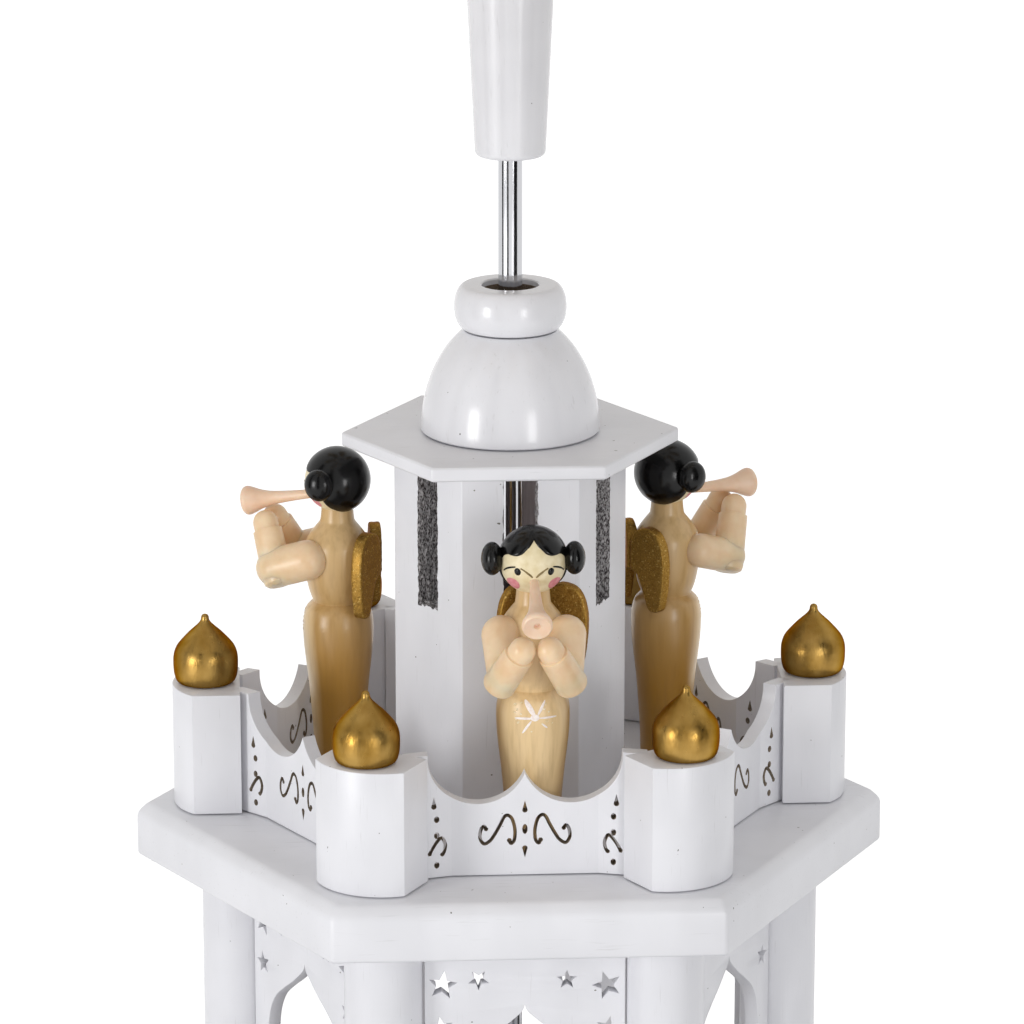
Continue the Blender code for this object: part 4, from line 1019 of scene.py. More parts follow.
HUB_FOOT_RADIUS = 7.3 * MM
HUB_FOOT_EASE = 1.2 * MM
HUB_STEM_HEIGHT = 66 * MM
HUB_STEM_RADIUS = 10.4 * MM
HUB_BORE_DEPTH = 20 * MM
PEG_RADIUS = 2 * MM
PEG_HOLE_DEPTH = 7.3 * MM
PEG_HOLE_RADIUS = PEG_RADIUS + 0.3 * MM
PADDLES = 8
PADDLE_STEP = 2 * pi / PADDLES
HUB_HEAD_SHARES = ((0.0, 1.0), (0.25, 0.995), (0.55, 0.955), (0.80, 0.89), (0.95, 0.81), (1.0, 0.72),
                   (1.0, 0.22), (0.95, 0.11), (0.82, 0.04))
low, high, middle = size_of("rotor_hub")
hub_foot, hub_height, head_radius = low.z, high.z - low.z, (high.x - low.x) / 2
head_height = hub_height - HUB_STEM_HEIGHT
head_points = [(x * head_radius, HUB_STEM_HEIGHT + y * head_height) for x, y in HUB_HEAD_SHARES]
head = through(head_points[:6], 6) + through(head_points[6:], 6)
foot_edge = arc((HUB_FOOT_RADIUS - HUB_FOOT_EASE, HUB_FOOT_EASE), HUB_FOOT_EASE, 0, -90, 8)
hub_profile = [*head, (HUB_STEM_RADIUS, HUB_STEM_HEIGHT), *foot_edge, (bore_radius, 0.0),
               (bore_radius, HUB_BORE_DEPTH), (0.0, HUB_BORE_DEPTH)]
hub_block = turned("rotor_hub", hub_profile, 96)
hub_block.materials.append(lathe_paint)
head_middle = HUB_STEM_HEIGHT + head_height / 2
paddle_level = hub_foot + head_middle
drills = []
for index in range(PADDLES):
    shape = bmesh.new()
    bmesh.ops.create_cone(shape, cap_ends=True, segments=32, radius1=PEG_HOLE_RADIUS,
                          radius2=PEG_HOLE_RADIUS, depth=2 * PEG_HOLE_DEPTH)
    place = (Matrix.Translation((0, 0, head_middle)) @ Matrix.Rotation(index * PADDLE_STEP, 4, "Z")
             @ Matrix.Translation((head_radius, 0, 0)) @ Matrix.Rotation(pi / 2, 4, "Y"))
    bmesh.ops.transform(shape, matrix=place, verts=shape.verts)
    drill = to_mesh("drill", shape)
    drill.materials.append(peg_wood)
    drills.append(drill)
hub_mesh = carved("rotor_hub", hub_block, drills)
hub_mesh.set_sharp_from_angle(angle=radians(40))
painted("rotor_hub", hub_mesh, lathe_paint, Matrix.Translation((0, 0, hub_foot)), "spindle")
print("hub faces:", len(hub_mesh.polygons))

# %% [markdown]
# Paddles
# Each paddle is a thin blade glued on a round peg. The blade widens to its tip and its corners are
# rounded. It is drawn in its own frame, where X runs along the peg, and then turned to its pitch.

# %% Paddles
PADDLE_PITCH = radians(40)
PEG_LENGTH = 50 * MM
PEG_SEAT = 7 * MM
PEG_LAP = 18 * MM
PEG_EASE = 0.5 * MM
PEG_END_RADIUS = PEG_RADIUS * 0.8
BLADE_LENGTH = 90 * MM
BLADE_ROOT = 30 * MM
BLADE_TIP = 46 * MM
BLADE_THICKNESS = 1.6 * MM
BLADE_CORNER = 3.6 * MM
peg_start = head_radius - PEG_SEAT
blade_root = peg_start + PEG_LENGTH - PEG_LAP
blade_tip = blade_root + BLADE_LENGTH
root_arc = arc((blade_root + BLADE_CORNER, BLADE_ROOT / 2 - BLADE_CORNER), BLADE_CORNER, 180, 100, 6)
tip_arc = arc((blade_tip - BLADE_CORNER, BLADE_TIP / 2 - BLADE_CORNER), BLADE_CORNER, 88, 0, 6)
blade_upper = root_arc + tip_arc
blade_outline = blade_upper + [(x, -y) for x, y in reversed(blade_upper)]
blade_mesh = board("paddle_blade", [blade_outline], BLADE_THICKNESS, 0.3)
shape = bmesh.new()
limb(shape, [((peg_start, 0, 0), PEG_END_RADIUS), ((peg_start + PEG_EASE, 0, 0), PEG_RADIUS),
             ((peg_start + PEG_LENGTH - PEG_EASE, 0, 0), PEG_RADIUS),
             ((peg_start + PEG_LENGTH, 0, 0), PEG_END_RADIUS)])
peg_mesh = to_mesh("paddle_peg", shape)
for index in range(PADDLES):
    node = f"paddle_{index + 1}"
    place = (Matrix.Translation((0, 0, paddle_level)) @ Matrix.Rotation(index * PADDLE_STEP, 4, "Z")
             @ Matrix.Rotation(PADDLE_PITCH, 4, "X"))
    add_piece(node + "_blade", blade_mesh, blade_wood, node, [node], place)
    add_piece(node + "_peg", peg_mesh, peg_wood, node, (), place)
print("paddles:", PADDLES)

# %% [markdown]
# Turntable
# In the lower storey the rod carries a disc with three plain peg dolls, which ride round when the
# rotor turns. They are turned like the figures above, and have the same varnish and hair.

# %% Turntable and peg dolls
TABLE_THICKNESS = 4 * MM
TABLE_EASE = 0.5 * MM
TABLE_BOSS_RADIUS = 7.5 * MM
DOLLS = 3
DOLL_RING = 26 * MM
DOLL_HEIGHT = 36 * MM
DOLL_RADIUS = 6.5 * MM
DOLL_HEAD = (0.0, 0.87 * DOLL_HEIGHT)
DOLL_SHARES = ((0.735, 0.30), (0.70, 0.60), (0.655, 0.70), (0.60, 0.74), (0.45, 0.80), (0.30, 0.86),
               (0.12, 0.95), (0.0, 1.0))
low, high, middle = size_of("turntable")
table_radius = (high.x - low.x) / 2
table_top = high.z - DOLL_HEIGHT
boss_foot = low.z - table_top
disc_profile = [(bore_radius, 0.0), (table_radius - TABLE_EASE, 0.0), (table_radius, -TABLE_EASE),
                (table_radius, TABLE_EASE - TABLE_THICKNESS), (table_radius - TABLE_EASE, -TABLE_THICKNESS),
                (TABLE_BOSS_RADIUS, -TABLE_THICKNESS), (TABLE_BOSS_RADIUS, boss_foot),
                (bore_radius, boss_foot), (bore_radius, 0.0)]
add_piece("turntable_disc", turned("turntable_disc", disc_profile, 96), lathe_paint, "spindle",
          ["turntable"], Matrix.Translation((0, 0, table_top)))
doll_side = lathe_line(DOLL_SHARES, DOLL_RADIUS, DOLL_HEIGHT, 4)
doll_head = arc(DOLL_HEAD, 0.57 * DOLL_RADIUS, 90, -60, 16)
doll_profile = [*doll_head, *doll_side, (0.0, 0.0)]
doll_mesh = turned("peg_doll", doll_profile, 48, 60)
doll_hair = turned("peg_doll_hair", [*arc(DOLL_HEAD, 0.64 * DOLL_RADIUS, 90, 12, 12),
                                     (0.50 * DOLL_RADIUS, 0.868 * DOLL_HEIGHT)], 48, 60)
for index in range(DOLLS):
    place = stand(DOLL_RING, index * 2 * pi / DOLLS, table_top)
    add_piece(f"peg_doll_{index + 1}", doll_mesh, varnish, "spindle", (), place)
    add_piece(f"peg_doll_{index + 1}_hair", doll_hair, enamel, "spindle", (), place)
print("peg dolls:", DOLLS)

# %% [markdown]
# The trumpeting figures
# Three figures stand between the tower and the fence. Each is drawn in its own frame: X points the
# way it looks, Z is up, and its feet are on the gallery floor. The body is one turned shape with a
# groove at the waist, and the head is a turned ball. Each body was parted off by hand, a millimetre
# or two longer or shorter. All the sizes below were measured against the head.

# %% Bodies and heads
HEAD_RADIUS = 6.78 * MM
HEAD_HEIGHT = 64.3 * MM
HIP_RADIUS = 7.5 * MM
# The body from the neck down: shares of the height below the head and of the hip radius
BODY_SHARES = ((1.04, 0.44), (1.0, 0.455), (0.975, 0.475), (0.962, 0.50), (0.945, 0.60), (0.93, 0.69),
               (0.915, 0.77), (0.895, 0.86), (0.87, 0.92), (0.83, 0.94), (0.79, 0.93), (0.75, 0.895),
               (0.71, 0.835), (0.68, 0.765), (0.668, 0.725))
SKIRT_SHARES = ((0.660, 0.715), (0.650, 0.80), (0.6325, 0.905), (0.60, 0.975), (0.567, 1.0), (0.50, 0.985),
                (0.435, 0.935), (0.37, 0.875), (0.305, 0.825), (0.24, 0.785), (0.16, 0.74), (0.08, 0.715),
                (0.0, 0.71))
below_head = HEAD_HEIGHT - HEAD_RADIUS
body_side = (lathe_line(BODY_SHARES, HIP_RADIUS, below_head, 5)
             + lathe_line(SKIRT_SHARES, HIP_RADIUS, below_head, 5))


def body_mesh(foot):
    """The body, parted off at this height below or above the usual foot."""
    side = [point for point in body_side if point.y > foot + 0.1 * MM]
    return turned("figure_body", [(0.0, body_side[0].y), *side, (side[-1].x, foot), (0.0, foot)], 72, 35)


head_profile = [(HEAD_RADIUS * cos(radians(90 - i * 4)), HEAD_HEIGHT + HEAD_RADIUS * sin(radians(90 - i * 4)))
                for i in range(46)]
head_mesh = turned("figure_head", head_profile, 72, 60)
print("figure height:", round((HEAD_HEIGHT + HEAD_RADIUS) * 1000, 1), "mm")

# %% [markdown]
# Hair
# The hair is a cap that leaves the face free. Looking straight at the face, every edge point has an
# angle round the face and an angle away from its middle. The cap is a grid that runs from this edge
# to the back of the head, and its edge is tucked in so that the paint looks thick.

# %% Hair
HAIR_THICKNESS = 0.35 * MM
HAIR_ROUNDING = 0.5 * MM
HAIR_TUCK = 0.06 * MM
BUN_FORWARD = 1.0 * MM
BUN_OFFSET = 8.3 * MM
BUN_RISE = 0.7 * MM
BUN_RADIUS = 3.1 * MM
BUN_STRETCH_SHARES = (1.0, 0.72, 1.10)
# Half of the hair's edge as bearing and height in degrees seen from the head's middle
HAIR_EDGE = ((0, 51), (5, 44), (10.6, 36.5), (21, 25.5), (31, 20.5), (42, 19.5), (53, 20), (64, 16), (71, 8),
             (75, -3), (78, -16), (81, -29), (88, -42), (107, -56), (142, -68), (180, -72))


def on_head(bearing, height, radius=HEAD_RADIUS):
    """A place on the head, or just over it; the figure's left is a positive bearing."""
    bearing, height = radians(bearing), radians(height)
    return Vector((radius * cos(height) * cos(bearing), radius * cos(height) * sin(bearing),
                   HEAD_HEIGHT + radius * sin(height)))


def hair_edge():
    """The edge as (angle round the face, angle from its middle), all the way round."""
    half_edge = []
    for bearing, height in HAIR_EDGE:
        x, y, z = on_head(bearing, height, 1.0) - Vector((0, 0, HEAD_HEIGHT))
        half_edge.append((atan2(y, z), acos(max(-1.0, min(1.0, x)))))
    half_edge = through(half_edge, 8)
    return half_edge + [(2 * pi - turn, away) for turn, away in reversed(half_edge[1:-1])]


def hair_cap(shape):
    rows = []
    for turn, away in hair_edge():
        row = []
        for i in range(31):
            share = i / 30
            angle = away + (pi - away) * share ** 1.5
            lift = min(1.0, (angle - away) * HEAD_RADIUS / HAIR_ROUNDING)
            radius = HEAD_RADIUS + HAIR_THICKNESS * sqrt(1 - (1 - lift) ** 2) - HAIR_TUCK * (1 - lift)
            row.append(shape.verts.new((radius * cos(angle), radius * sin(angle) * sin(turn),
                                        HEAD_HEIGHT + radius * sin(angle) * cos(turn))))
        rows.append(row)
    join_rows(shape, rows + rows[:1], False)


shape = bmesh.new()
hair_cap(shape)
for way in (1, -1):
    bun = bmesh.ops.create_uvsphere(shape, u_segments=40, v_segments=20, radius=BUN_RADIUS)
    place = (Matrix.Translation((BUN_FORWARD, way * BUN_OFFSET, HEAD_HEIGHT + BUN_RISE))
             @ Matrix.Diagonal((*BUN_STRETCH_SHARES, 1.0)))
    bmesh.ops.transform(shape, matrix=place, verts=bun["verts"])
hair_mesh = to_mesh("figure_hair", shape, 60)
print("hair faces:", len(hair_mesh.polygons))

# %% [markdown]
# Face
# The face is painted with a few brush marks. A disc that follows the ball of the head makes an eye
# or a cheek, and a thin limb laid on the skin makes a line: the olive one that runs from the nose
# under the brow, and the black lashes.

# %% Face
EYE = (30, -6.5)
EYE_WIDTH = 1.45 * MM
EYE_HEIGHT = 1.6 * MM
CHEEK = (50, -35)
CHEEK_WIDTH = 4.2 * MM
CHEEK_HEIGHT = 3.1 * MM
BROW = ((3.5, -15.5), (7, -11.5), (12, -7.5), (18, -3), (24, 0))
BROW_WIDTH = 0.42 * MM
LASHES = ((34, 1.5), (45, -1), (55, -5), (63, -9.5))
LASH_WIDTH = 0.42 * MM
MARK_LIFT = 0.03 * MM
EYE_DOME = 0.25 * MM


def oval_rows(width, height, rings, steps):
    """Rings of points from an oval's middle to its edge, each after its share of the way out."""
    return [(i / rings, [(cos(2 * pi * k / steps) * width / 2 * i / rings,
                          sin(2 * pi * k / steps) * height / 2 * i / rings) for k in range(steps)])
            for i in range(rings + 1)]


def disc_on_head(shape, centre, width, height, turn, dome=0.0):
    """An oval that follows the head; turn is in degrees, and dome raises its middle."""
    middle = on_head(*centre) - Vector((0, 0, HEAD_HEIGHT))
    out = middle.normalized()
    side = Vector((-out.y, out.x, 0)).normalized()
    up = out.cross(side)
    c, s = cos(radians(turn)), sin(radians(turn))
    rows = []
    for share, points in oval_rows(width, height, 5, 24):
        radius = HEAD_RADIUS + MARK_LIFT + dome * (1 - share ** 2)
        spots = [middle + side * (a * c - b * s) + up * (a * s + b * c) for a, b in points]
        rows.append([shape.verts.new(spot.normalized() * radius + Vector((0, 0, HEAD_HEIGHT)))
                     for spot in spots])
    join_rows(shape, rows, True)


def brush_line(shape, places, width):
    line = through([on_head(*place) for place in places], 5)
    count = len(line) - 1
    limb(shape, [(place, width / 2 * (0.35 + 0.65 * sin(pi * min(0.85, 0.12 + i / count)) ** 0.6))
                 for i, place in enumerate(line)], 8)


eyes, brows, cheeks = bmesh.new(), bmesh.new(), bmesh.new()
for way in (1, -1):
    disc_on_head(eyes, (way * EYE[0], EYE[1]), EYE_WIDTH, EYE_HEIGHT, 0, EYE_DOME)
    brush_line(eyes, [(way * bearing, height) for bearing, height in LASHES], LASH_WIDTH)
    disc_on_head(cheeks, (way * CHEEK[0], CHEEK[1]), CHEEK_WIDTH, CHEEK_HEIGHT, -30 * way)
    brush_line(brows, [(way * bearing, height) for bearing, height in BROW], BROW_WIDTH)
eye_mesh, brow_mesh, cheek_mesh = [to_mesh(name, marks, 60) for name, marks in
                                   (("eyes", eyes), ("brows", brows), ("cheeks", cheeks))]
print("face marks:", len(eye_mesh.polygons) + len(brow_mesh.polygons) + len(cheek_mesh.polygons), "faces")

# %% [markdown]
# Arms
# An arm is moulded in one piece, but looks like two: a thick upper arm with round ends, and a
# forearm that comes out of it at the elbow, with a cuff and a rounded hand that props up the
# trumpet. So it is two limbs that run into each other, and the cuff is two stations close together.

# %% Arms
SHOULDER_FORWARD = 4.3 * MM
SHOULDER_OFFSET = 6.6 * MM
ELBOW_FORWARD = 11.5 * MM
ELBOW_OFFSET = 6.5 * MM
ELBOW_DROP_SHARE = 0.96
# The forearm's round foot: shares of the drop below the elbow, and of the forearm's radius
ELBOW_SHARES = ((1.0, 0.45), (0.96, 0.75), (0.84, 0.92), (0.6, 1.0))
HAND = (15.2 * MM, 2.75 * MM)
FOREARM_RADIUS = 3.4 * MM
CUFF_RADIUS = 3.1 * MM
CUFF_SHARE = 0.82
HAND_RADIUS = 2.7 * MM
CREASE = 0.14 * MM


def arms_mesh(thickness, taper, shoulder_height, elbow_height, hand_height):
    """Both arms; thickness is the upper arm's radius, which the taper changes towards the elbow."""
    shape = bmesh.new()
    for way in (1, -1):
        shoulder = Vector((SHOULDER_FORWARD, way * SHOULDER_OFFSET, shoulder_height))
        elbow = Vector((ELBOW_FORWARD, way * ELBOW_OFFSET, elbow_height))
        hand = Vector((HAND[0], way * HAND[1], hand_height - HAND_RADIUS))
        forward, up = (elbow - shoulder).normalized(), (hand - elbow).normalized()
        length = (hand - elbow).length
        lower = thickness * taper
        limb(shape, [*reversed(round_end(shoulder, -forward, thickness)),
                     *round_end(elbow, forward, lower)], 36)
        drop = lower * ELBOW_DROP_SHARE
        stations = [(elbow - up * drop * below, FOREARM_RADIUS * wide) for below, wide in ELBOW_SHARES]
        stations += [(elbow + up * length * CUFF_SHARE, CUFF_RADIUS),
                     (elbow + up * (length * CUFF_SHARE + CREASE), HAND_RADIUS * 0.99)]
        limb(shape, [*stations, *round_end(hand, up, HAND_RADIUS)], 36)
    return to_mesh("arms", shape, 32)


print("forearms are", round(2000 * FOREARM_RADIUS, 1), "mm thick")

# %% [markdown]
# Trumpet
# The trumpet is a horn with a rounded bell, moulded in the arms' resin but with more rose in it. It
# is turned as a section round Z, and then laid along the way it points, which falls a little.

# %% Trumpet
TRUMPET_START = 4.6 * MM
TRUMPET_LENGTH = 16.6 * MM
BELL_RADIUS = 3.1 * MM
# From the mouth to the bell: shares of the length and of the bell's radius
TRUMPET_SHARES = ((0.0, 0.30), (0.25, 0.34), (0.50, 0.42), (0.66, 0.52), (0.78, 0.69), (0.88, 0.90),
                  (0.94, 1.0), (0.98, 0.97), (1.0, 0.86))
# Inside the bell: shares of its radius, and how deep in millimetres
BELL_SHARES = ((0.62, 0.25), (0.25, 0.55), (0.16, 1.4), (0.0, 1.5))


def trumpet_mesh(height, fall):
    """A turned horn, laid from this height along the way it points; fall is its slope in degrees."""
    side = lathe_line(TRUMPET_SHARES, BELL_RADIUS, TRUMPET_LENGTH, 5)
    cup = [(share * BELL_RADIUS, TRUMPET_LENGTH - depth * MM) for share, depth in BELL_SHARES]
    mesh = turned("trumpet", [(0.0, 0.0), *side, *cup], 48, 35)
    mesh.transform(Matrix.Translation((TRUMPET_START, 0, height))
                   @ Matrix.Rotation(pi / 2 + radians(fall), 4, "Y"))
    return mesh


print("trumpet length:", round(1000 * TRUMPET_LENGTH, 1), "mm")

# %% [markdown]
# Flower on the skirt
# The flower is painted with a few quick strokes and splashes of pale gold. Each mark is a flat oval
# laid on the turned surface, found by reading the body's radius at its height. Its middle is
# raised a tenth of a millimetre, as thick paint is.

# %% Flower on the skirt
FLOWER_HEIGHT = 33.4 * MM
FLOWER_SIZE = 4.0 * MM
PAINT_THICKNESS = 0.10 * MM
# Each mark: shares of the flower's size across and up, its length and width, and its turn in degrees
PETAL_SHARES = ((-0.23, 0.46, 0.95, 0.28, 122), (0.36, 0.46, 0.84, 0.15, 62), (-0.55, -0.07, 1.0, 0.13, 2),
                (0.72, -0.04, 1.0, 0.11, 0), (-0.39, -0.52, 0.85, 0.13, 55), (0.02, -0.02, 0.45, 0.36, 0),
                (0.52, -0.46, 0.42, 0.10, -40))
SPLASH_SHARES = ((-1.0, 0.60, 0.20, 0.13, 20), (-0.90, 0.35, 0.15, 0.11, 70), (-1.05, 0.20, 0.12, 0.09, 0),
                 (-0.85, -0.30, 0.17, 0.11, 40), (-0.95, -0.15, 0.10, 0.08, 0), (0.60, 0.65, 0.16, 0.09, 60),
                 (0.50, 0.40, 0.12, 0.09, 0), (0.75, 0.25, 0.14, 0.08, 30), (0.65, -0.25, 0.16, 0.10, 10),
                 (0.40, -0.35, 0.12, 0.09, 80), (-0.65, 0.70, 0.14, 0.09, 10), (-0.70, 0.15, 0.12, 0.10, 0),
                 (0.95, -0.35, 0.10, 0.08, 0), (-0.15, -0.75, 0.10, 0.08, 0))


def body_radius(height):
    """The skirt's radius at a height, read between the points of its side."""
    for (r1, z1), (r2, z2) in zip(body_side, body_side[1:]):
        if z2 <= height <= z1 and z1 > z2:
            return r2 + (r1 - r2) * (height - z2) / (z1 - z2)
    return HIP_RADIUS


def mark_on_skirt(shape, mark):
    across, up, length, width, turn = mark
    c, s = cos(radians(turn)), sin(radians(turn))
    rows = []
    for share, points in oval_rows(length * FLOWER_SIZE, width * FLOWER_SIZE, 4, 20):
        row = []
        for a, b in points:
            height = FLOWER_HEIGHT + up * FLOWER_SIZE + a * s + b * c
            radius = body_radius(height) + MARK_LIFT + PAINT_THICKNESS * (1 - share ** 2)
            aside = across * FLOWER_SIZE + a * c - b * s
            row.append(shape.verts.new(polar(radius, aside / radius, height)))
        rows.append(row)
    join_rows(shape, rows, True)


petals, splashes = bmesh.new(), bmesh.new()
for mark in PETAL_SHARES:
    mark_on_skirt(petals, mark)
for mark in SPLASH_SHARES:
    mark_on_skirt(splashes, mark)
petal_mesh, splash_mesh = to_mesh("flower_petals", petals, 60), to_mesh("flower_splashes", splashes, 60)
print("flower strokes:", len(PETAL_SHARES), "and splashes:", len(SPLASH_SHARES))

# %% [markdown]
# Wings
# The wings are two rounded lobes of thick card, joined at the spine and folded back a little. The
# glitter makes their surface grainy, so the boards are subdivided and each point moved by noise.

# %% Wings
WING_WIDTH = 9.5 * MM
WING_HEIGHT = 18.0 * MM
WING_THICKNESS = 2.4 * MM
WING_FOLD = radians(16)
WING_GRAIN = 0.8 * MM
WING_ROUGHNESS = 0.07 * MM
WING_BUMP = 0.5 * MM
WING_SHARES = ((0.02, 0.82), (0.12, 0.92), (0.32, 0.99), (0.55, 1.0), (0.78, 0.945), (0.93, 0.82),
               (1.0, 0.64), (0.995, 0.42), (0.95, 0.20), (0.87, 0.04), (0.70, 0.0), (0.54, 0.04),
               (0.40, 0.22), (0.24, 0.40), (0.02, 0.47))
BACK_SHARE = 0.94


def wing_mesh(way):
    outline = through([(x * WING_WIDTH, y * WING_HEIGHT) for x, y in WING_SHARES], 4)
    mesh = board("wing", [outline], WING_THICKNESS, 0.3)
    shape = bmesh.new()
    shape.from_mesh(mesh)
    for turn in range(4):
        long_edges = [edge for edge in shape.edges if edge.calc_length() > WING_GRAIN]
        bmesh.ops.subdivide_edges(shape, edges=long_edges, cuts=1, use_grid_fill=True)
        bmesh.ops.triangulate(shape, faces=shape.faces[:])
    shape.normal_update()
    for vertex in shape.verts:
        vertex.co += vertex.normal * noise.noise(vertex.co / WING_BUMP) * WING_ROUGHNESS
    for vertex in shape.verts:
        vertex.co.x *= way
    if way < 0:
        bmesh.ops.reverse_faces(shape, faces=shape.faces[:])
    bmesh.ops.transform(shape, matrix=Matrix.Rotation(-way * WING_FOLD, 4, "Y"), verts=shape.verts)
    return shape


def wings_mesh():
    """The pair, upright behind the body."""
    joined = bmesh.new()
    for way in (1, -1):
        shape = wing_mesh(way)
        half_mesh = bpy.data.meshes.new("half_wing")
        shape.to_mesh(half_mesh)
        shape.free()
        joined.from_mesh(half_mesh)
    behind = -HIP_RADIUS * BACK_SHARE - WING_THICKNESS * 0.55
    upright_wings = Matrix.Rotation(pi / 2, 4, "Z") @ Matrix.Rotation(pi / 2, 4, "X")
    bmesh.ops.transform(joined, matrix=Matrix.Translation((behind, 0, 0)) @ upright_wings, verts=joined.verts)
    return to_mesh("wings", joined, 50)


wing_pair = wings_mesh()
print("wing faces:", len(wing_pair.polygons))

# %% [markdown]
# Placing the figures
# Each figure was glued in by hand, so its bearing from the axis and the way it faces differ a
# little. So do its length, the thickness and lift of its arms, the fall of its trumpet and the place
# of its wings. All lengths in the list are millimetres, and all angles degrees.

# %% Put the figures on the gallery
FIGURE_RING = 38.6 * MM
# The heights of arms are those of shoulder, elbow and finger tips, and wings have foot, shift and turn
FIGURES = (
    dict(name="angel_front", bearing=273.5, facing=269.0, longer=-1.8, arm=(4.0, 0.78),
         heights=(49.9, 42.9, 52.65), trumpet=(61.8, 20.4), wings=(39.3, 2.3, 0.0)),
    dict(name="angel_right", bearing=27.0, facing=27.0, longer=1.0, arm=(3.65, 1.0),
         heights=(48.0, 45.8, 58.05), trumpet=(59.9, 2.1), wings=(36.0, 0.0, 0.0)),
    dict(name="angel_left", bearing=158.0, facing=158.0, longer=1.3, arm=(4.25, 1.0),
         heights=(48.0, 45.7, 56.9), trumpet=(60.95, 10.8), wings=(36.0, 0.0, 9.0)))
for figure in FIGURES:
    name, longer = figure["name"], figure["longer"] * MM
    place = (Matrix.Translation(polar(FIGURE_RING, radians(figure["bearing"]), GALLERY + longer))
             @ Matrix.Rotation(radians(figure["facing"]), 4, "Z"))
    add_piece(name + "_body", body_mesh(-longer), varnish, stands_for=[name], place=place)
    foot, aside, turn = figure["wings"]
    wing_place = (place @ Matrix.Translation((0, aside * MM, foot * MM))
                  @ Matrix.Rotation(radians(turn), 4, "Z"))
    add_piece(name + "_wings_glitter", wing_pair, glitter, stands_for=[name + "_wings"],
              place=wing_place)
    thickness, taper = figure["arm"]
    arms = arms_mesh(thickness * MM, taper, *[height * MM for height in figure["heights"]])
    mouth, fall = figure["trumpet"]
    for part, mesh, finish in (("head", head_mesh, face_paint), ("hair", hair_mesh, enamel),
                               ("eyes", eye_mesh, enamel), ("brows", brow_mesh, liner),
                               ("cheeks", cheek_mesh, blush), ("arms", arms, resin),
                               ("trumpet", trumpet_mesh(mouth * MM, fall), rose_resin),
                               ("petals", petal_mesh, petal), ("splashes", splash_mesh, fleck_paint)):
        add_piece(name + "_" + part, mesh, finish, place=place)
print("pieces shown:", len(shown))

# %% [markdown]
# Floor, light and background
# The picture has a white background and soft light: two tall, low lamps at the camera's left and
# right, and weaker light from all round, which leaves the upper sides greyer than the fronts. The
# floor is pale and matt. For the camera and for reflections it glows a little, so that it reads as
# white, and it still takes the object's shadow. The sky is plain white to the same rays.

# %% Floor
FLOOR_SIZE = 14.0
FLOOR_GLOW = 0.62


def sheet(name, width, height):
    """A rectangle for the stage, lying flat and facing up."""
    mesh = bpy.data.meshes.new(name)
    shape = bmesh.new()
    bmesh.ops.create_grid(shape, x_segments=1, y_segments=1, size=0.5)
    bmesh.ops.scale(shape, vec=(width, height, 1), verts=shape.verts)
    shape.to_mesh(mesh)
    shape.free()
    return add_object(name, mesh)


def seen_share(tree):
    """1 for the rays of camera, mirrors and glass, and 0 for the light that falls on things."""
    rays = add_node(tree, "LightPath").outputs
    seen = add_node(tree, "Math", {0: rays["Is Camera Ray"], 1: rays["Is Glossy Ray"]}, operation="MAXIMUM")
    return add_node(tree, "Math", {0: seen, 1: rays["Is Transmission Ray"]}, operation="MAXIMUM")


def face_axis(item, distance, bearing, height, target):
    """Places an item on a ring, and turns it to a height on the axis; the bearing is in degrees."""
    item.location = polar(distance, radians(bearing), height)
    aim = Vector((0, 0, target)) - item.location
    item.rotation_euler = aim.to_track_quat("-Z", "Y").to_euler()


floor = sheet("floor", FLOOR_SIZE, FLOOR_SIZE)
floor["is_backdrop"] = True
floor_finish, tree = new_finish("matt_white_studio_floor", Base_Color=linear("E6E6E6"), Roughness=0.9,
                                Emission_Color=linear("FFFFFF"))
glow = add_node(tree, "Math", {0: seen_share(tree), 1: FLOOR_GLOW}, operation="MULTIPLY")
drive(tree, Emission_Strength=glow.outputs[0])
floor.data.materials.append(floor_finish)
print("floor of", FLOOR_SIZE, "metres")

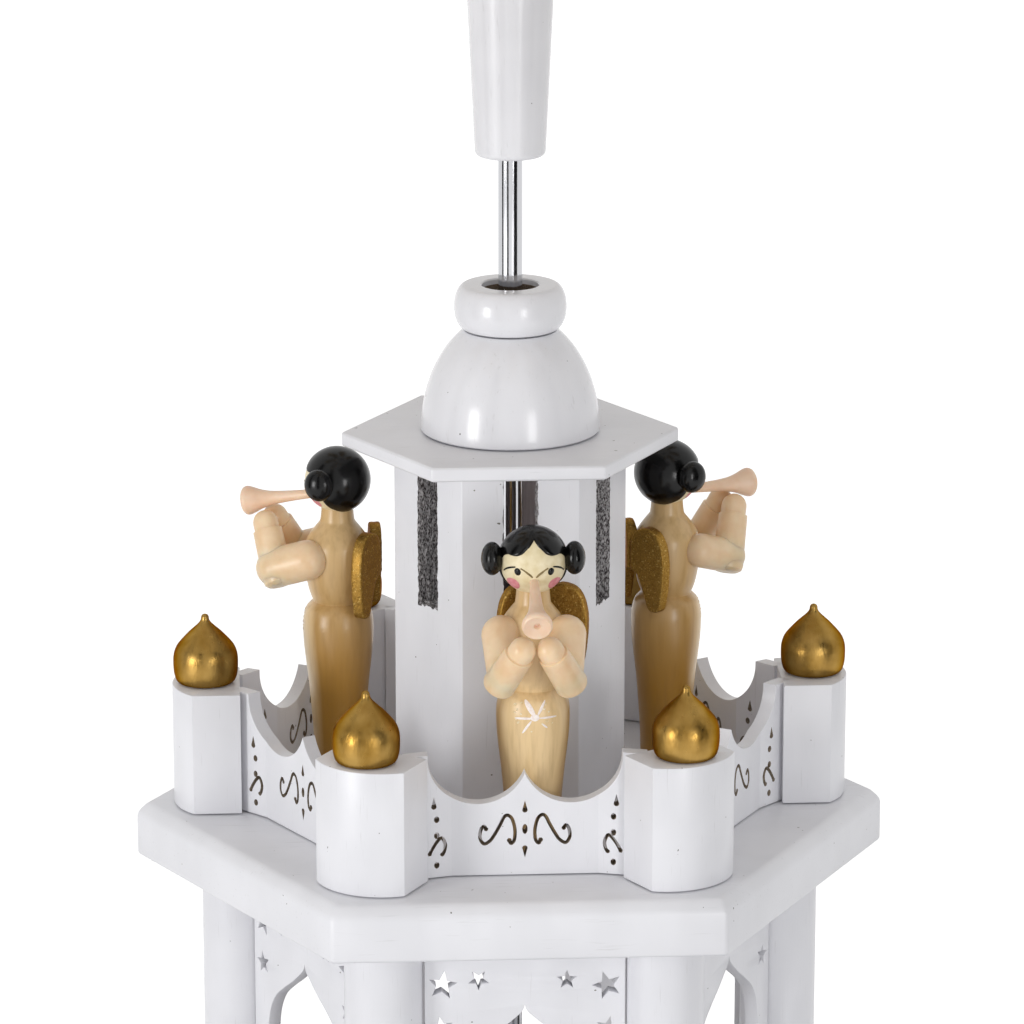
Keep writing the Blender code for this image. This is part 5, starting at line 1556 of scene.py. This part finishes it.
# %% Sky
SKY_STRENGTH = 0.61
world = bpy.data.worlds.new("studio")
bpy.context.scene.world = world
world.use_nodes = True
tree = world.node_tree
plain = add_node(tree, "MapRange", {"Value": seen_share(tree), "To Min": SKY_STRENGTH, "To Max": 1.0})
sky = tree.nodes["Background"].inputs
sky["Color"].default_value = linear("FFFFFF")
tree.links.new(plain.outputs[0], sky["Strength"])
print("sky strength", SKY_STRENGTH)

# %% Lamps
LAMP_DISTANCE = 0.9
LAMP_HEIGHT = 0.34
LAMP_TARGET = GALLERY + 30 * MM
# Each lamp: bearing from the axis in degrees, width, height of its middle and power in watts
LAMPS = (("left_lamp", 218.7, 0.22, 0.22, 2.8), ("right_lamp", 294.7, 0.16, 0.22, 1.4))
for name, bearing, width, height, power in LAMPS:
    light = bpy.data.lights.new(name, "AREA")
    light.shape = "RECTANGLE"
    light.size, light.size_y = width, LAMP_HEIGHT
    light.energy = power
    lamp = add_object(name, light)
    face_axis(lamp, LAMP_DISTANCE, bearing, height, LAMP_TARGET)
    lamp.visible_camera = False

# %% [markdown]
# Bright steel shows what stands round it. In an all white room it would look white, so dark cards
# stand beside the object, as photographers place them. Only reflections see the cards.

# %% Dark cards
CARD_DISTANCE = 0.6
CARD_HEIGHT = 0.9
card_finish, tree = new_finish("black_card", Roughness=1.0, Base_Color=linear("101010"))
# Each card: bearing in degrees and width
CARDS = ((243.0, 0.16), (318.0, 0.40), (190.0, 0.16))
for number, (bearing, width) in enumerate(CARDS):
    card = sheet(f"card_{number + 1}", width, CARD_HEIGHT)
    card.data.materials.append(card_finish)
    face_axis(card, CARD_DISTANCE, bearing, CARD_HEIGHT / 2, CARD_HEIGHT / 2)
    card.visible_camera = card.visible_diffuse = card.visible_shadow = False
    card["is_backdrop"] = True

# %% [markdown]
# Colour management and sizes
# The Standard view shows a colour as it is written. The box of everything shown is printed at the end.

# %% Finish
bpy.context.scene.view_settings.view_transform = "Standard"
low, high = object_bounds()
print("visual box", [round(v, 4) for v in low], [round(v, 4) for v in high])
